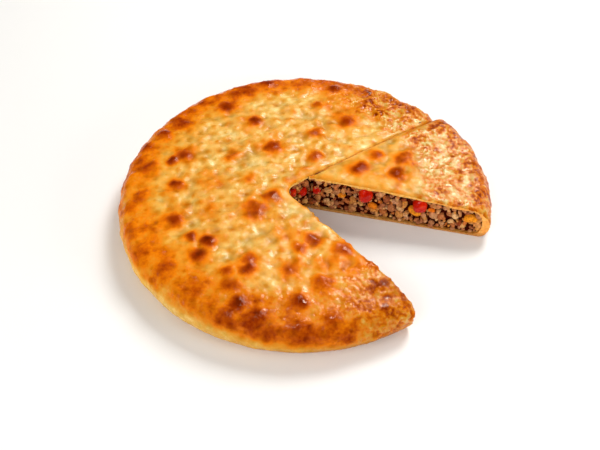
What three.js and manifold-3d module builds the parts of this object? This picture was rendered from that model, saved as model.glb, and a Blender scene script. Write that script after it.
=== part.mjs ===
// A flat round meat pie with a soft baked crust, shown cut. One slice is gone, and the slice
// beside the gap has been drawn out a little along its cut, so the filling shows.
// Millimetres, +Z up, standing on z = 0, with the origin under the middle of its outline.

import * as THREE from 'three';
import { mergeVertices } from 'three/addons/utils/BufferGeometryUtils.js';
import Module from 'manifold-3d';

const wasm = await Module();
wasm.setup();

// Whole pie
const RADIUS = 150;
const LID_HEIGHT_MIDDLE = 38;
const LID_HEIGHT_EDGE = 31;
const RIM_ROLL = 14; // how far the rounded rim reaches out past the lid
const RIM_BULGE_HEIGHT = 13; // height of the widest part of the rim
const FOOT_TUCK = 10; // how far the rim tucks in below its widest part
const LID_RADIUS = RADIUS - RIM_ROLL;
const FOOT_RADIUS = RADIUS - FOOT_TUCK;

// Dough and filling
const LID_THICKNESS = 3.6;
const BASE_THICKNESS = 2.8;
const RIM_THICKNESS = 9;
const FILLING_ROUND = 13; // how far the filling's rounded outer edge reaches
const FILLING_RADIUS = RADIUS - RIM_THICKNESS;
const FIT_GAP = 0.3; // between pieces that touch

// Baked relief of the crust
const LUMP_LENGTH = 30;
const LUMP_DEPTH = 0.9;
const LUMP_WAVES = 12;
const RIM_WAVE_DEPTH = 0.8;
const BLISTER_HEIGHT = 2.2;
// The large dark blisters: bearing in degrees from +X, distance from the middle, width
const BLISTERS = [
  [119, 48, 11], [118, 86, 10], [160, 105, 12], [165, 110, 9], [180, 102, 10], [217, 29, 11],
  [221, 48, 16], [124, 119, 14], [143, 128, 14], [151, 132, 10], [170, 128, 14], [78, 62, 10],
  [68, 32, 11], [63, 86, 13], [52, 114, 13], [76, 128, 10], [201, 108, 13], [221, 97, 12],
  [224, 109, 12], [244, 92, 10], [246, 100, 10], [243, 119, 12], [249, 131, 13], [269, 122, 12],
  [220, 134, 14], [278, 64, 11], [265, 92, 14], [294, 80, 13], [279, 106, 14], [299, 122, 10],
  [14, 42, 12], [5, 72, 12], [17, 82, 12], [26, 62, 11], [28, 107, 16], [31, 130, 11],
];

// Cuts: bearing of each knife line, and how far it passes from the middle, to its left
const KERF = 0.8;
const SLICE_BACK_CUT = { bearing: 35.5, offset: 2.5 };
const SLICE_FRONT_CUT = { bearing: -13.3, offset: 1.1 };
const GAP_CUT = { bearing: -49.5, offset: -15.4 };
const GAP_ROUND = 9.6; // the gap's inner end is rounded, not a sharp corner
const GAP_BACK_SHOWN = 13; // the run of the back cut that shows between the rounding and the slice
const SLICE_DRAWN_OUT = 9;
const REACH = 2 * RADIUS; // knife lines run well past the rim
const CUTTER_FLOOR = -10;
const CUTTER_HEIGHT = 80;

// Minced filling at the cut faces
const CRUMB_SIZE = 7.6;
const CRUMB_PITCH = 9.8;
const CRUMB_SCATTER = 3.9; // how far crumbs stray from even rows
const CRUMB_SET_IN = 3.2; // how far a crumb's middle lies behind the knife line
const CRUMB_HEADROOM = 2; // between the lid and a crumb's middle
const CUT_RECESS = 2.2; // the core lies this far behind the knife line, and crumbs fill it
const HIDDEN_RECESS = 0.4; // the same at a cut that another piece covers
const BODY_CRUMB_SEED = 11;
const SLICE_CRUMB_SEED = 5;

// Red pepper dice: distance along the cut's edge, height, size
const SLICE_PEPPERS = [[5.5, 21, 7.5], [47, 25.8, 13], [91.5, 23.6, 12.5]];
const BODY_PEPPERS = [[4.5, 20.5, 7.5], [14.5, 26, 7], [68, 25, 12], [104, 14, 9], [134, 22, 10]];
const PEPPER_SET_IN = 2; // how far a dice's middle lies behind the knife line
const PEPPER_SQUARENESS = 2.6;

// Fineness of the faceted solids
const LID_RINGS = 20;
const ROUND_STEPS = 4;
const DOUGH_SIDES = 90;
const FILLING_SIDES = 48;
const FILLING_RINGS = 6;
const DICE_STEPS = 3;
const MERGE_DISTANCE = 1e-4;

const GOLDEN = (1 + Math.sqrt(5)) / 2;

function bakedCrust() {
  return new THREE.MeshStandardMaterial({ color: 0xdc9a3e, roughness: 0.4, metalness: 0 });
}

function cookedMince() {
  return new THREE.MeshStandardMaterial({ color: 0x8a6b50, roughness: 0.6, metalness: 0 });
}

function redPepper() {
  return new THREE.MeshStandardMaterial({ color: 0xc22f1d, roughness: 0.3, metalness: 0 });
}

// A seeded source of numbers from 0 to 1.
function seededRandom(seed) {
  let state = seed;
  return () => {
    state = (state * 1664525 + 1013904223) % 4294967296;
    return state / 4294967296;
  };
}

// An even, random-looking swell from -1 to 1 or so: plane waves in many directions.
function swell(x, y) {
  let sum = 0;
  for (let k = 1; k <= LUMP_WAVES; k++) {
    const bearing = 2 * Math.PI * k * GOLDEN;
    const waveLength = LUMP_LENGTH * (0.7 + 0.6 * ((k * Math.SQRT2) % 1));
    const along = x * Math.cos(bearing) + y * Math.sin(bearing);
    sum += Math.cos((2 * Math.PI * along) / waveLength + k * k);
  }
  return sum / Math.sqrt(LUMP_WAVES);
}

function blisterHeight(x, y) {
  let height = 0;
  for (const [bearing, distance, width] of BLISTERS) {
    const angle = THREE.MathUtils.degToRad(bearing);
    const away = Math.hypot(x - distance * Math.cos(angle), y - distance * Math.sin(angle));
    height = Math.max(height, BLISTER_HEIGHT * Math.exp(-((2 * away / width) ** 2)));
  }
  return height;
}

function lidHeight(r) {
  const share = Math.min(r / LID_RADIUS, 1);
  return LID_HEIGHT_EDGE + (LID_HEIGHT_MIDDLE - LID_HEIGHT_EDGE) * (1 - share * share);
}

// Points of a quarter of an ellipse round [x, z], from one angle to another.
function quarterRound(x, z, across, up, fromDegrees, toDegrees) {
  return Array.from({ length: ROUND_STEPS + 1 }, (_, i) => {
    const angle = THREE.MathUtils.degToRad(fromDegrees + ((toDegrees - fromDegrees) * i) / ROUND_STEPS);
    return new THREE.Vector2(x + across * Math.cos(angle), z + up * Math.sin(angle));
  });
}

// Points along the lid from the rim to the axis, a given depth below its face.
function lidLine(outerRadius, rings, depth) {
  return Array.from({ length: rings }, (_, i) => {
    const r = outerRadius * (1 - (i + 1) / rings);
    return new THREE.Vector2(r, lidHeight(r) - depth);
  });
}

// A closed profile turned about the upright axis.
function turned(profile, sides) {
  return new THREE.LatheGeometry(profile, sides).rotateX(Math.PI / 2);
}

// The baked outside: lumps and blisters on the lid, and a slightly wavy rim.
function doughGeometry() {
  const foot = quarterRound(FOOT_RADIUS, RIM_BULGE_HEIGHT, FOOT_TUCK, RIM_BULGE_HEIGHT, -90, 0);
  const rollHeight = LID_HEIGHT_EDGE - RIM_BULGE_HEIGHT;
  const roll = quarterRound(LID_RADIUS, RIM_BULGE_HEIGHT, RIM_ROLL, rollHeight, 0, 90).slice(1);
  const lid = lidLine(LID_RADIUS, LID_RINGS, 0);
  const geometry = turned([new THREE.Vector2(0, 0), ...foot, ...roll, ...lid], DOUGH_SIDES);
  const place = geometry.attributes.position;
  for (let i = 0; i < place.count; i++) {
    const [x, y, z] = [place.getX(i), place.getY(i), place.getZ(i)];
    const onLid = THREE.MathUtils.smoothstep(z, RIM_BULGE_HEIGHT, LID_HEIGHT_EDGE);
    const onRim = THREE.MathUtils.smoothstep(z, 0, RIM_BULGE_HEIGHT) * (1 - onLid);
    const grow = 1 + (onRim * RIM_WAVE_DEPTH * swell(x, y)) / RADIUS;
    const lift = onLid * (LUMP_DEPTH * swell(x, y) + blisterHeight(x, y));
    place.setXYZ(i, x * grow, y * grow, z + lift);
  }
  return geometry;
}

// The room for the filling, or the filling itself when it is set in by the fit gap.
function fillingGeometry(inset) {
  const floor = BASE_THICKNESS + inset;
  const edge = FILLING_RADIUS - FILLING_ROUND;
  const ceiling = lidHeight(edge) - LID_THICKNESS - inset;
  const middle = (floor + ceiling) / 2;
  const across = FILLING_ROUND - inset;
  const lower = quarterRound(edge, middle, across, middle - floor, -90, 0);
  const upper = quarterRound(edge, middle, across, ceiling - middle, 0, 90).slice(1);
  const lid = lidLine(edge, FILLING_RINGS, LID_THICKNESS + inset);
  return turned([new THREE.Vector2(0, floor), ...lower, ...upper, ...lid], FILLING_SIDES);
}

// A geometry as a solid that can be joined and cut.
function solidOf(geometry) {
  const bare = geometry.clone();
  bare.deleteAttribute('normal');
  bare.deleteAttribute('uv');
  const merged = mergeVertices(bare, MERGE_DISTANCE);
  const corners = merged.index.array;
  const kept = [];
  for (let i = 0; i < corners.length; i += 3) {
    const [a, b, c] = corners.slice(i, i + 3);
    if (a !== b && b !== c && c !== a) kept.push(a, b, c);
  }
  return new wasm.Manifold(new wasm.Mesh({
    numProp: 3,
    vertProperties: merged.attributes.position.array,
    triVerts: new Uint32Array(kept),
  }));
}

// The largest body of a solid, without loose scraps or sealed hollows.
function largestBody(solid) {
  return solid.decompose().reduce((best, body) => (body.volume() > best.volume() ? body : best));
}

function meshOf(name, solid, material) {
  const { vertProperties, triVerts } = largestBody(solid).getMesh();
  const geometry = new THREE.BufferGeometry();
  geometry.setAttribute('position', new THREE.BufferAttribute(vertProperties, 3));
  geometry.setIndex(new THREE.BufferAttribute(triVerts, 1));
  geometry.computeVertexNormals();
  const mesh = new THREE.Mesh(geometry, material);
  mesh.name = name;
  return mesh;
}

// A knife line: the way it runs outwards, the way to its left, and a point on it.
function knifeLine({ bearing, offset }, shift = 0) {
  const angle = THREE.MathUtils.degToRad(bearing);
  const along = new THREE.Vector2(Math.cos(angle), Math.sin(angle));
  const left = new THREE.Vector2(-along.y, along.x);
  return { along, left, start: left.clone().multiplyScalar(offset + shift) };
}

function crossing(first, second) {
  const apart = second.start.clone().sub(first.start);
  const distance = apart.cross(second.along) / first.along.cross(second.along);
  return first.start.clone().addScaledVector(first.along, distance);
}

function farEnd(line) {
  return line.start.clone().addScaledVector(line.along, REACH);
}

// The edge that the gap shows: a run of the back cut, the inner rounding and the cut beyond it.
function gapEdge(backRecess, gapRecess) {
  const back = knifeLine(SLICE_BACK_CUT, backRecess);
  const front = knifeLine(GAP_CUT, -gapRecess);
  const besideBack = knifeLine(SLICE_BACK_CUT, backRecess - GAP_ROUND);
  const centre = crossing(besideBack, knifeLine(GAP_CUT, GAP_ROUND - gapRecess));
  const roundStart = centre.clone().addScaledVector(back.left, GAP_ROUND);
  const start = roundStart.clone().addScaledVector(back.along, GAP_BACK_SHOWN);
  const end = farEnd(front);
  const edge = new THREE.Path().moveTo(start.x, start.y).lineTo(roundStart.x, roundStart.y);
  edge.absarc(centre.x, centre.y, GAP_ROUND, back.left.angle(), front.left.angle() + Math.PI, false);
  return edge.lineTo(end.x, end.y);
}

function upright(shape) {
  const cutter = new THREE.ExtrudeGeometry(shape, { depth: CUTTER_HEIGHT, bevelEnabled: false });
  return solidOf(cutter.translate(0, 0, CUTTER_FLOOR));
}

// What leaves the whole pie: the drawn slice and the missing one together.
function gapCutter(backRecess, gapRecess) {
  const start = farEnd(knifeLine(SLICE_BACK_CUT, backRecess));
  const outline = [start, ...gapEdge(backRecess, gapRecess).getPoints(ROUND_STEPS * 2)];
  return upright(new THREE.Shape(outline));
}

function sliceCutter(backRecess, frontRecess) {
  const back = knifeLine(SLICE_BACK_CUT, -KERF - backRecess);
  const front = knifeLine(SLICE_FRONT_CUT, frontRecess);
  return upright(new THREE.Shape([crossing(back, front), farEnd(front), farEnd(back)]));
}

function sliceEdge() {
  const front = knifeLine(SLICE_FRONT_CUT);
  const tip = crossing(knifeLine(SLICE_BACK_CUT, -KERF), front);
  const end = farEnd(front);
  return new THREE.Path().moveTo(tip.x, tip.y).lineTo(end.x, end.y);
}

// The place and outward way at a distance along a cut edge. side is 1 where the gap lies left of it.
function onEdge(edge, distance, side) {
  const share = distance / edge.getLength();
  const place = edge.getPointAt(share);
  const way = edge.getTangentAt(share);
  return { place, out: new THREE.Vector2(-way.y * side, way.x * side) };
}

// One crumb of mince: a rough lump of few sides.
function crumbGeometry(random) {
  const lump = new THREE.IcosahedronGeometry(CRUMB_SIZE / 2, 0);
  lump.scale(0.8 + 0.5 * random(), 0.8 + 0.5 * random(), 0.8 + 0.4 * random());
  return lump.rotateX(Math.PI * random()).rotateZ(Math.PI * random());
}

// Crumbs in staggered rows over a cut face.
function crumbsOver(edge, side, seed) {
  const random = seededRandom(seed);
  const stray = () => CRUMB_SCATTER * (random() - 0.5);
  const rowHeight = (CRUMB_PITCH * Math.sqrt(3)) / 2;
  const rows = Math.floor(LID_HEIGHT_MIDDLE / rowHeight);
  const columns = Math.floor((RADIUS + GAP_BACK_SHOWN) / CRUMB_PITCH);
  const crumbs = [];
  for (let i = 0; i < rows * columns; i++) {
    const row = i % rows;
    const column = Math.floor(i / rows) + (row % 2 ? 0.4 : 0.9);
    const { place, out } = onEdge(edge, column * CRUMB_PITCH + stray() / 2, side);
    place.addScaledVector(out, stray() / 2 - CRUMB_SET_IN);
    const z = BASE_THICKNESS + CRUMB_SIZE / 2 + row * rowHeight + stray();
    const crumb = crumbGeometry(random).translate(place.x, place.y, z);
    const r = place.length();
    const underLid = z < lidHeight(r) - LID_THICKNESS - CRUMB_HEADROOM;
    if (underLid && r < FILLING_RADIUS - CRUMB_SIZE) crumbs.push(solidOf(crumb));
  }
  return crumbs;
}

// A dice of pepper with rounded corners, as wide as size.
function diceGeometry(size) {
  const dice = new THREE.BoxGeometry(2, 2, 2, DICE_STEPS, DICE_STEPS, DICE_STEPS);
  const place = dice.attributes.position;
  for (let i = 0; i < place.count; i++) {
    const point = new THREE.Vector3().fromBufferAttribute(place, i);
    const powers = point.toArray().map((v) => Math.abs(v) ** PEPPER_SQUARENESS);
    const reach = (powers[0] + powers[1] + powers[2]) ** (1 / PEPPER_SQUARENESS);
    point.multiplyScalar(size / 2 / reach);
    place.setXYZ(i, point.x, point.y, point.z);
  }
  return dice;
}

// Dice set into a cut face. Each leans its own way.
function peppersIn(rows, edge, side, name) {
  return rows.map(([distance, height, size], i) => {
    const { place, out } = onEdge(edge, distance, side);
    place.addScaledVector(out, -PEPPER_SET_IN);
    const dice = new THREE.Mesh(diceGeometry(size), redPepper());
    dice.name = `${name}_${i + 1}`;
    dice.position.set(place.x, place.y, height);
    dice.rotation.set(0.3 * (i + 1), 0.2 * i, out.angle() + 0.25 * i);
    return dice;
  });
}

// The room that a placed dice needs, a fit gap larger all round.
function diceRoom(dice) {
  dice.geometry.computeBoundingBox();
  const grow = 1 + FIT_GAP / dice.geometry.boundingBox.max.x;
  dice.updateMatrix();
  return solidOf(dice.geometry.clone().scale(grow, grow, grow).applyMatrix4(dice.matrix));
}

// The whole pie before it is cut: the hollow dough, and the filling inside it.
const wholeCrust = solidOf(doughGeometry()).subtract(solidOf(fillingGeometry(0)));
const wholeFilling = solidOf(fillingGeometry(FIT_GAP));

// A cut filling: the core with crumbs on its cut face, kept inside the dough, less room for the dice.
function mincedFilling(core, crumbs, peppers) {
  const joined = wasm.Manifold.union([core, ...crumbs]).intersect(wholeFilling);
  return peppers.reduce((solid, dice) => solid.subtract(diceRoom(dice)), joined);
}

// The larger part of the pie, with the gap in it.
function bodyPart() {
  const edge = gapEdge(0, 0);
  const crust = wholeCrust.subtract(gapCutter(0, 0));
  const peppers = peppersIn(BODY_PEPPERS, edge, 1, 'pepper_body');
  const core = wholeFilling.subtract(gapCutter(CUT_RECESS, CUT_RECESS));
  const mince = mincedFilling(core, crumbsOver(edge, 1, BODY_CRUMB_SEED), peppers);
  const group = new THREE.Group();
  group.add(meshOf('crust_body', crust, bakedCrust()));
  group.add(meshOf('filling_body', mince, cookedMince()), ...peppers);
  return group;
}

// The slice that is drawn out along its back cut.
function slicePart() {
  const edge = sliceEdge();
  const crust = wholeCrust.intersect(sliceCutter(0, 0));
  const peppers = peppersIn(SLICE_PEPPERS, edge, -1, 'pepper_slice');
  const core = wholeFilling.intersect(sliceCutter(HIDDEN_RECESS, CUT_RECESS));
  const mince = mincedFilling(core, crumbsOver(edge, -1, SLICE_CRUMB_SEED), peppers);
  const drawn = knifeLine(SLICE_BACK_CUT).along.multiplyScalar(SLICE_DRAWN_OUT);
  const group = new THREE.Group();
  group.add(meshOf('crust_slice', crust, bakedCrust()));
  group.add(meshOf('filling_slice', mince, cookedMince()), ...peppers);
  group.position.set(drawn.x, drawn.y, 0);
  return group;
}

const pie = new THREE.Group();
pie.add(bodyPart(), slicePart());
const middle = new THREE.Box3().setFromObject(pie).getCenter(new THREE.Vector3());
pie.position.set(-middle.x, -middle.y, 0);

export default pie;
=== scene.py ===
# %% [markdown]
# # A cut meat pie
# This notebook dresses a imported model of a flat, round meat pie: a soft dough baked golden with dark
# blisters, a minced filling with dice of red pepper, and one slice drawn out beside an empty gap.
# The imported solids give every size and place. Each of them is replaced here by a finer piece of the
# same size, with its own baked, oily or crumbly finish.

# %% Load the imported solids
import math

import bmesh
import bpy
import numpy as np
from mathutils import Matrix, Vector, kdtree


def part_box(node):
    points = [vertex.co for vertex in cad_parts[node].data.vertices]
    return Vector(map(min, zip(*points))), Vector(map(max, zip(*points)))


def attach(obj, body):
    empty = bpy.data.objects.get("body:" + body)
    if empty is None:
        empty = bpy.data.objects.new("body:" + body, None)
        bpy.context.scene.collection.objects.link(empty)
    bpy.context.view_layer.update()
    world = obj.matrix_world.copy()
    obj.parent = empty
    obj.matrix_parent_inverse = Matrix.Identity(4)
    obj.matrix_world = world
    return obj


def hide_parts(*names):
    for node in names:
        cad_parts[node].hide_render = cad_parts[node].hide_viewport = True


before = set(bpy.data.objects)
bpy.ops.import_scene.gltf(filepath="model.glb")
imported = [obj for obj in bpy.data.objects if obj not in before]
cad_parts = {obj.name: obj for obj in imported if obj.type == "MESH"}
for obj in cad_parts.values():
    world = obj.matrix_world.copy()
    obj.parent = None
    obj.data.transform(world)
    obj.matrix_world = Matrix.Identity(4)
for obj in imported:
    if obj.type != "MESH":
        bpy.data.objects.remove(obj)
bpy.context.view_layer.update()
print("solids:", sorted(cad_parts))

# %% [markdown]
# ## Where the pie stands
# The slice is drawn out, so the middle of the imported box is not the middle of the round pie. The large
# crust still reaches the full round at the left, the front and the back, so its own box gives the
# centre and the radius. All plan work below is done in millimetres round that centre.

# %% Find the centre of the round
MM = 0.001
crust_low, crust_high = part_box("crust_body")
RADIUS = (crust_high.y - crust_low.y) / 2 / MM
CENTRE = Vector((crust_low.x + RADIUS * MM, (crust_low.y + crust_high.y) / 2, 0))
TO_ROW = Matrix.Translation(CENTRE) @ Matrix.Scale(MM, 4)
print(f"radius {RADIUS:.1f} mm, centre {CENTRE.x / MM:.1f}, {CENTRE.y / MM:.1f} mm")

# %% [markdown]
# ## The camera
# The photograph looks down at the pie at about 47 degrees with a long lens. A camera could be moved by
# hand until the rim lines up. Here its angle, distance and aim are plain numbers instead, found from the
# shape of the round rim: how flat the ellipse is gives the angle, and its lean gives the distance.

# %% Place the camera
CAMERA_LENS = 66
CAMERA_SENSOR = 36
CAMERA_ELEVATION = math.radians(46.8)
CAMERA_DISTANCE = 913.6
CAMERA_AIM = Vector((-0.7, -13.2, 0))
camera = bpy.data.objects.new("camera", bpy.data.cameras.new("camera"))
camera.data.lens = CAMERA_LENS
camera.data.sensor_width = CAMERA_SENSOR
back_off = Vector((0, -math.cos(CAMERA_ELEVATION), math.sin(CAMERA_ELEVATION)))
camera.location = TO_ROW @ (CAMERA_AIM + CAMERA_DISTANCE * back_off)
camera.rotation_euler = (math.pi / 2 - CAMERA_ELEVATION, 0, 0)
bpy.context.scene.collection.objects.link(camera)
bpy.context.scene.camera = camera
print("camera at", tuple(round(v, 3) for v in camera.location))

# %% [markdown]
# ## Helpers for node trees
# Materials and geometry are both built from nodes. One helper adds a node and fills its sockets, with a
# value or with a link, and the others are short names for the steps that come up again and again, so that
# the trees below read from top to bottom like a recipe.


# %% Nodes and arithmetic
def fill_in(tree, node, inputs):
    """Gives a node's inputs, by name or number, their values. A socket among the values is linked."""
    for key, value in inputs.items():
        if isinstance(value, bpy.types.NodeSocket):
            tree.links.new(value, node.inputs[key])
        else:
            node.inputs[key].default_value = value


def add_node(tree, kind, inputs=None, **settings):
    """Adds a node with its settings and its inputs."""
    node = tree.nodes.new(kind)
    for name, value in settings.items():
        setattr(node, name, value)
    fill_in(tree, node, inputs or {})
    return node


def made(tree, kind, inputs=None, out=0, **settings):
    """Adds a node and returns one of its outputs, the first unless another is asked for."""
    return add_node(tree, kind, inputs, **settings).outputs[out]


def calc(tree, operation, first, second=0.0, third=0.0):
    """One step of arithmetic in a tree, as a socket."""
    values = {0: first, 1: second, 2: third}
    return made(tree, "ShaderNodeMath", values, operation=operation)


def times(tree, first, second):
    """Two numbers multiplied."""
    return calc(tree, "MULTIPLY", first, second)


def more(tree, base, value, factor):
    """base plus value times factor."""
    return calc(tree, "MULTIPLY_ADD", value, factor, base)


def summed(tree, base, *parts):
    """base plus every part, each given as a value and its factor."""
    for value, factor in parts:
        base = more(tree, base, value, factor)
    return base


def remap(tree, value, low, high, at_low=0.0, at_high=1.0, kind="LINEAR"):
    """Runs from at_low to at_high while value runs from low to high, and stays between them."""
    values = {"Value": value, 1: low, 2: high, 3: at_low, 4: at_high}
    return made(tree, "ShaderNodeMapRange", values, interpolation_type=kind)


print("arithmetic ready")


# %% Colours, grain and bumps
def paint(red, green, blue):
    """A screen colour, 0 to 255 a channel, as the linear colour that a shader takes."""
    shares = np.array([red, green, blue]) / 255
    linear = np.where(shares <= 0.04045, shares / 12.92, ((shares + 0.055) / 1.055) ** 2.4)
    return (*linear, 1.0)


def ramp(tree, factor, stops):
    """A colour ramp. stops is a list of places and colours."""
    node = add_node(tree, "ShaderNodeValToRGB", {"Fac": factor})
    elements = node.color_ramp.elements
    while len(elements) < len(stops):
        elements.new(0.5)
    for element, (place, colour) in zip(elements, stops):
        element.position = place
        element.color = colour
    return node.outputs["Color"]


def dyed(tree, colour, dye, share=1.0):
    """A colour multiplied by a dye, as far as share says."""
    values = {"Factor": share, 6: colour, 7: dye}
    return made(tree, "ShaderNodeMix", values, data_type="RGBA", blend_type="MULTIPLY", out=2)


def number(tree, name):
    """A number that the mesh keeps for each point, in a material."""
    return made(tree, "ShaderNodeAttribute", attribute_name=name, out="Fac")


def grain(tree, size, detail=2.0, roughness=0.5, distortion=0.0):
    """Noise about size metres across, fixed to the piece, from 0 to 1."""
    place = made(tree, "ShaderNodeTexCoord", out="Object")
    values = {"Vector": place, "Scale": 1 / size, "Detail": detail, "Roughness": roughness}
    values["Distortion"] = distortion
    return made(tree, "ShaderNodeTexNoise", values)


def bumped(tree, height, depth, under=None):
    """A bump of a depth in metres, over another bump if one is given."""
    values = {"Height": height, "Distance": depth, "Strength": 1.0}
    if under is not None:
        values["Normal"] = under
    return made(tree, "ShaderNodeBump", values)


def new_material(name):
    """An empty material with one glossy shader. Returns the material, its tree and the shader."""
    material = bpy.data.materials.new(name)
    material.use_nodes = True
    tree = material.node_tree
    shader = next(node for node in tree.nodes if node.type == "BSDF_PRINCIPLED")
    return material, tree, shader


print("node helpers ready")

# %% [markdown]
# ## Knife lines
# Three cuts were made: the back and front of the slice, and the far side of the slice that is gone. Each
# is a straight line in plan, given by its bearing and by how far it passes to the left of the middle, and
# the gap ends in a rounded corner. The lines come first, because the lid lies calmer beside them.

# %% Knife lines in plan
KERF = 1.0
SLICE_BACK_CUT = (35.5, 2.5)
SLICE_FRONT_CUT = (-13.3, 1.1)
GAP_CUT = (-49.5, -15.4)
GAP_ROUND = 9.6
GAP_ROUND_STEPS = 16
GAP_BACK_SHOWN = 24.0
SLICE_DRAWN_OUT = 9.0
TIP_SHOWN = 8.0
REACH = 2 * RADIUS


def knife(cut, shift=0.0):
    """Start, way along and way to the left of a knife line, moved to its left by shift."""
    bearing, offset = cut
    along = np.array([math.cos(math.radians(bearing)), math.sin(math.radians(bearing))])
    left = np.array([-along[1], along[0]])
    return left * (offset + shift), along, left


def crossing(first, second):
    """Where two knife lines cross."""
    distance = np.linalg.solve(np.stack([first[1], -second[1]], 1), second[0] - first[0])[0]
    return first[0] + distance * first[1]


def gap_edge(recess):
    """The edge that the gap shows, set back by recess: back cut, rounded end, then the gap's own cut."""
    back, front = knife(SLICE_BACK_CUT, recess), knife(GAP_CUT, -recess)
    centre = crossing(knife(SLICE_BACK_CUT, recess - GAP_ROUND), knife(GAP_CUT, GAP_ROUND - recess))
    turn = np.radians(np.linspace(SLICE_BACK_CUT[0] + 90, GAP_CUT[0] + 270, GAP_ROUND_STEPS))
    rounded = centre + GAP_ROUND * np.stack([np.cos(turn), np.sin(turn)], 1)
    shown_from = rounded[0] + GAP_BACK_SHOWN * back[1]
    return np.vstack([shown_from, rounded, front[0] + REACH * front[1]])


def slice_edge(recess):
    """The front edge of the slice from its tip, before it is drawn out, set back by recess."""
    front = knife(SLICE_FRONT_CUT, recess)
    tip = crossing(knife(SLICE_BACK_CUT, -KERF), front)
    return np.vstack([tip, front[0] + REACH * front[1]])


def distance_to(plan, x, y):
    """How far each place in plan is from a line of straight pieces."""
    nearest = np.full(len(x), np.inf)
    for start, end in zip(plan, plan[1:]):
        way = end - start
        share = ((x - start[0]) * way[0] + (y - start[1]) * way[1]) / (way @ way)
        share = np.clip(share, 0, 1)
        away = np.hypot(x - start[0] - share * way[0], y - start[1] - share * way[1])
        nearest = np.minimum(nearest, away)
    return nearest


DRAWN = SLICE_DRAWN_OUT * knife(SLICE_BACK_CUT)[1]
BACK_END = knife(SLICE_BACK_CUT)[0] + REACH * knife(SLICE_BACK_CUT)[1]
print("slice tip at", (slice_edge(0)[0] + DRAWN).round(1))

# %% [markdown]
# ## The whole dough before it was cut
# A pie is one skin: a gently domed lid that rolls over at the rim and tucks in at the foot. A turned
# profile would give long thin faces near the middle, so the skin is laid out as rings whose points are
# all about one millimetre apart, and neighbouring rings are stitched with triangles.

# %% The profile of the pie
GRAIN = 1.05
UNDER_GRAIN = 4.0
LID_HEIGHT_MIDDLE = 38.0
LID_HEIGHT_EDGE = 31.0
RIM_ROLL = 14.0
RIM_BULGE_HEIGHT = 13.0
FOOT_TUCK = 10.0
LID_RADIUS = RADIUS - RIM_ROLL
LID_STEPS = 200
ROLL_STEPS = 60


def lid_height(r):
    """Height of the lid at a distance from the middle."""
    share = np.minimum(np.asarray(r) / LID_RADIUS, 1)
    return LID_HEIGHT_EDGE + (LID_HEIGHT_MIDDLE - LID_HEIGHT_EDGE) * (1 - share**2)


def pie_profile():
    """Radius and height down the outside, from the middle of the lid to the foot, evenly spaced."""
    turn = np.linspace(0, math.pi / 2, ROLL_STEPS)[1:]
    out = np.linspace(0, LID_RADIUS, LID_STEPS)
    lid = np.stack([out, lid_height(out)], 1)
    roll_drop = (LID_HEIGHT_EDGE - RIM_BULGE_HEIGHT) * np.cos(turn)
    roll = np.stack([LID_RADIUS + RIM_ROLL * np.sin(turn), RIM_BULGE_HEIGHT + roll_drop], 1)
    foot_reach = RADIUS - FOOT_TUCK * (1 - np.cos(turn))
    foot = np.stack([foot_reach, RIM_BULGE_HEIGHT * (1 - np.sin(turn))], 1)
    line = np.concatenate([lid, roll, foot])
    travelled = np.concatenate([[0], np.cumsum(np.linalg.norm(np.diff(line, axis=0), axis=1))])
    steps = np.linspace(0, travelled[-1], int(travelled[-1] / GRAIN))
    return np.stack([np.interp(steps, travelled, line[:, i]) for i in (0, 1)], 1)


profile = pie_profile()
under = np.arange(RADIUS - FOOT_TUCK - UNDER_GRAIN, UNDER_GRAIN, -UNDER_GRAIN)
base_line = np.stack([under, np.zeros_like(under)], 1)
print(f"profile of {len(profile)} points, and {len(base_line)} under the base")


# %% Rings stitched into a skin
def stitched(inner, outer):
    """Triangles between two rings, each given as the number of its first point and its count."""
    (a0, a_count), (b0, b_count) = inner, outer
    faces = []
    a = b = 0
    while a < a_count or b < b_count:
        a_now, b_now = a0 + a % a_count, b0 + b % b_count
        if b * a_count <= a * b_count and b < b_count:
            faces.append((a_now, b_now, b0 + (b + 1) % b_count))
            b += 1
        else:
            faces.append((a_now, b_now, a0 + (a + 1) % a_count))
            a += 1
    return faces


def ring_skin(line, spacing):
    """Points and faces of a closed skin turned from a profile that starts on the axis."""
    points = [(0.0, 0.0, line[0][1])]
    rings = []
    for (r, z), gap in zip(line[1:], spacing[1:]):
        count = max(6, round(2 * math.pi * r / gap))
        angles = 2 * math.pi * np.arange(count) / count
        rings.append((len(points), count))
        points.extend(zip(r * np.cos(angles), r * np.sin(angles), np.full(count, z)))
    first, count = rings[0]
    faces = [(0, first + i, first + (i + 1) % count) for i in range(count)]
    for inner, outer in zip(rings, rings[1:]):
        faces.extend(stitched(inner, outer))
    last, count = rings[-1]
    faces.append(tuple(reversed(range(last, last + count))))
    return points, faces


def mesh_object(name, points, faces, material=None):
    """A new object in the scene, made of points and faces."""
    mesh = bpy.data.meshes.new(name)
    mesh.from_pydata(points, [], faces)
    if material:
        mesh.materials.append(material)
    thing = bpy.data.objects.new(name, mesh)
    bpy.context.scene.collection.objects.link(thing)
    return thing


spacing = [GRAIN] * len(profile) + [UNDER_GRAIN] * len(base_line)
dough = mesh_object("dough", *ring_skin(np.vstack([profile, base_line]), spacing))
print(f"dough skin of {len(dough.data.polygons)} faces")
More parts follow.
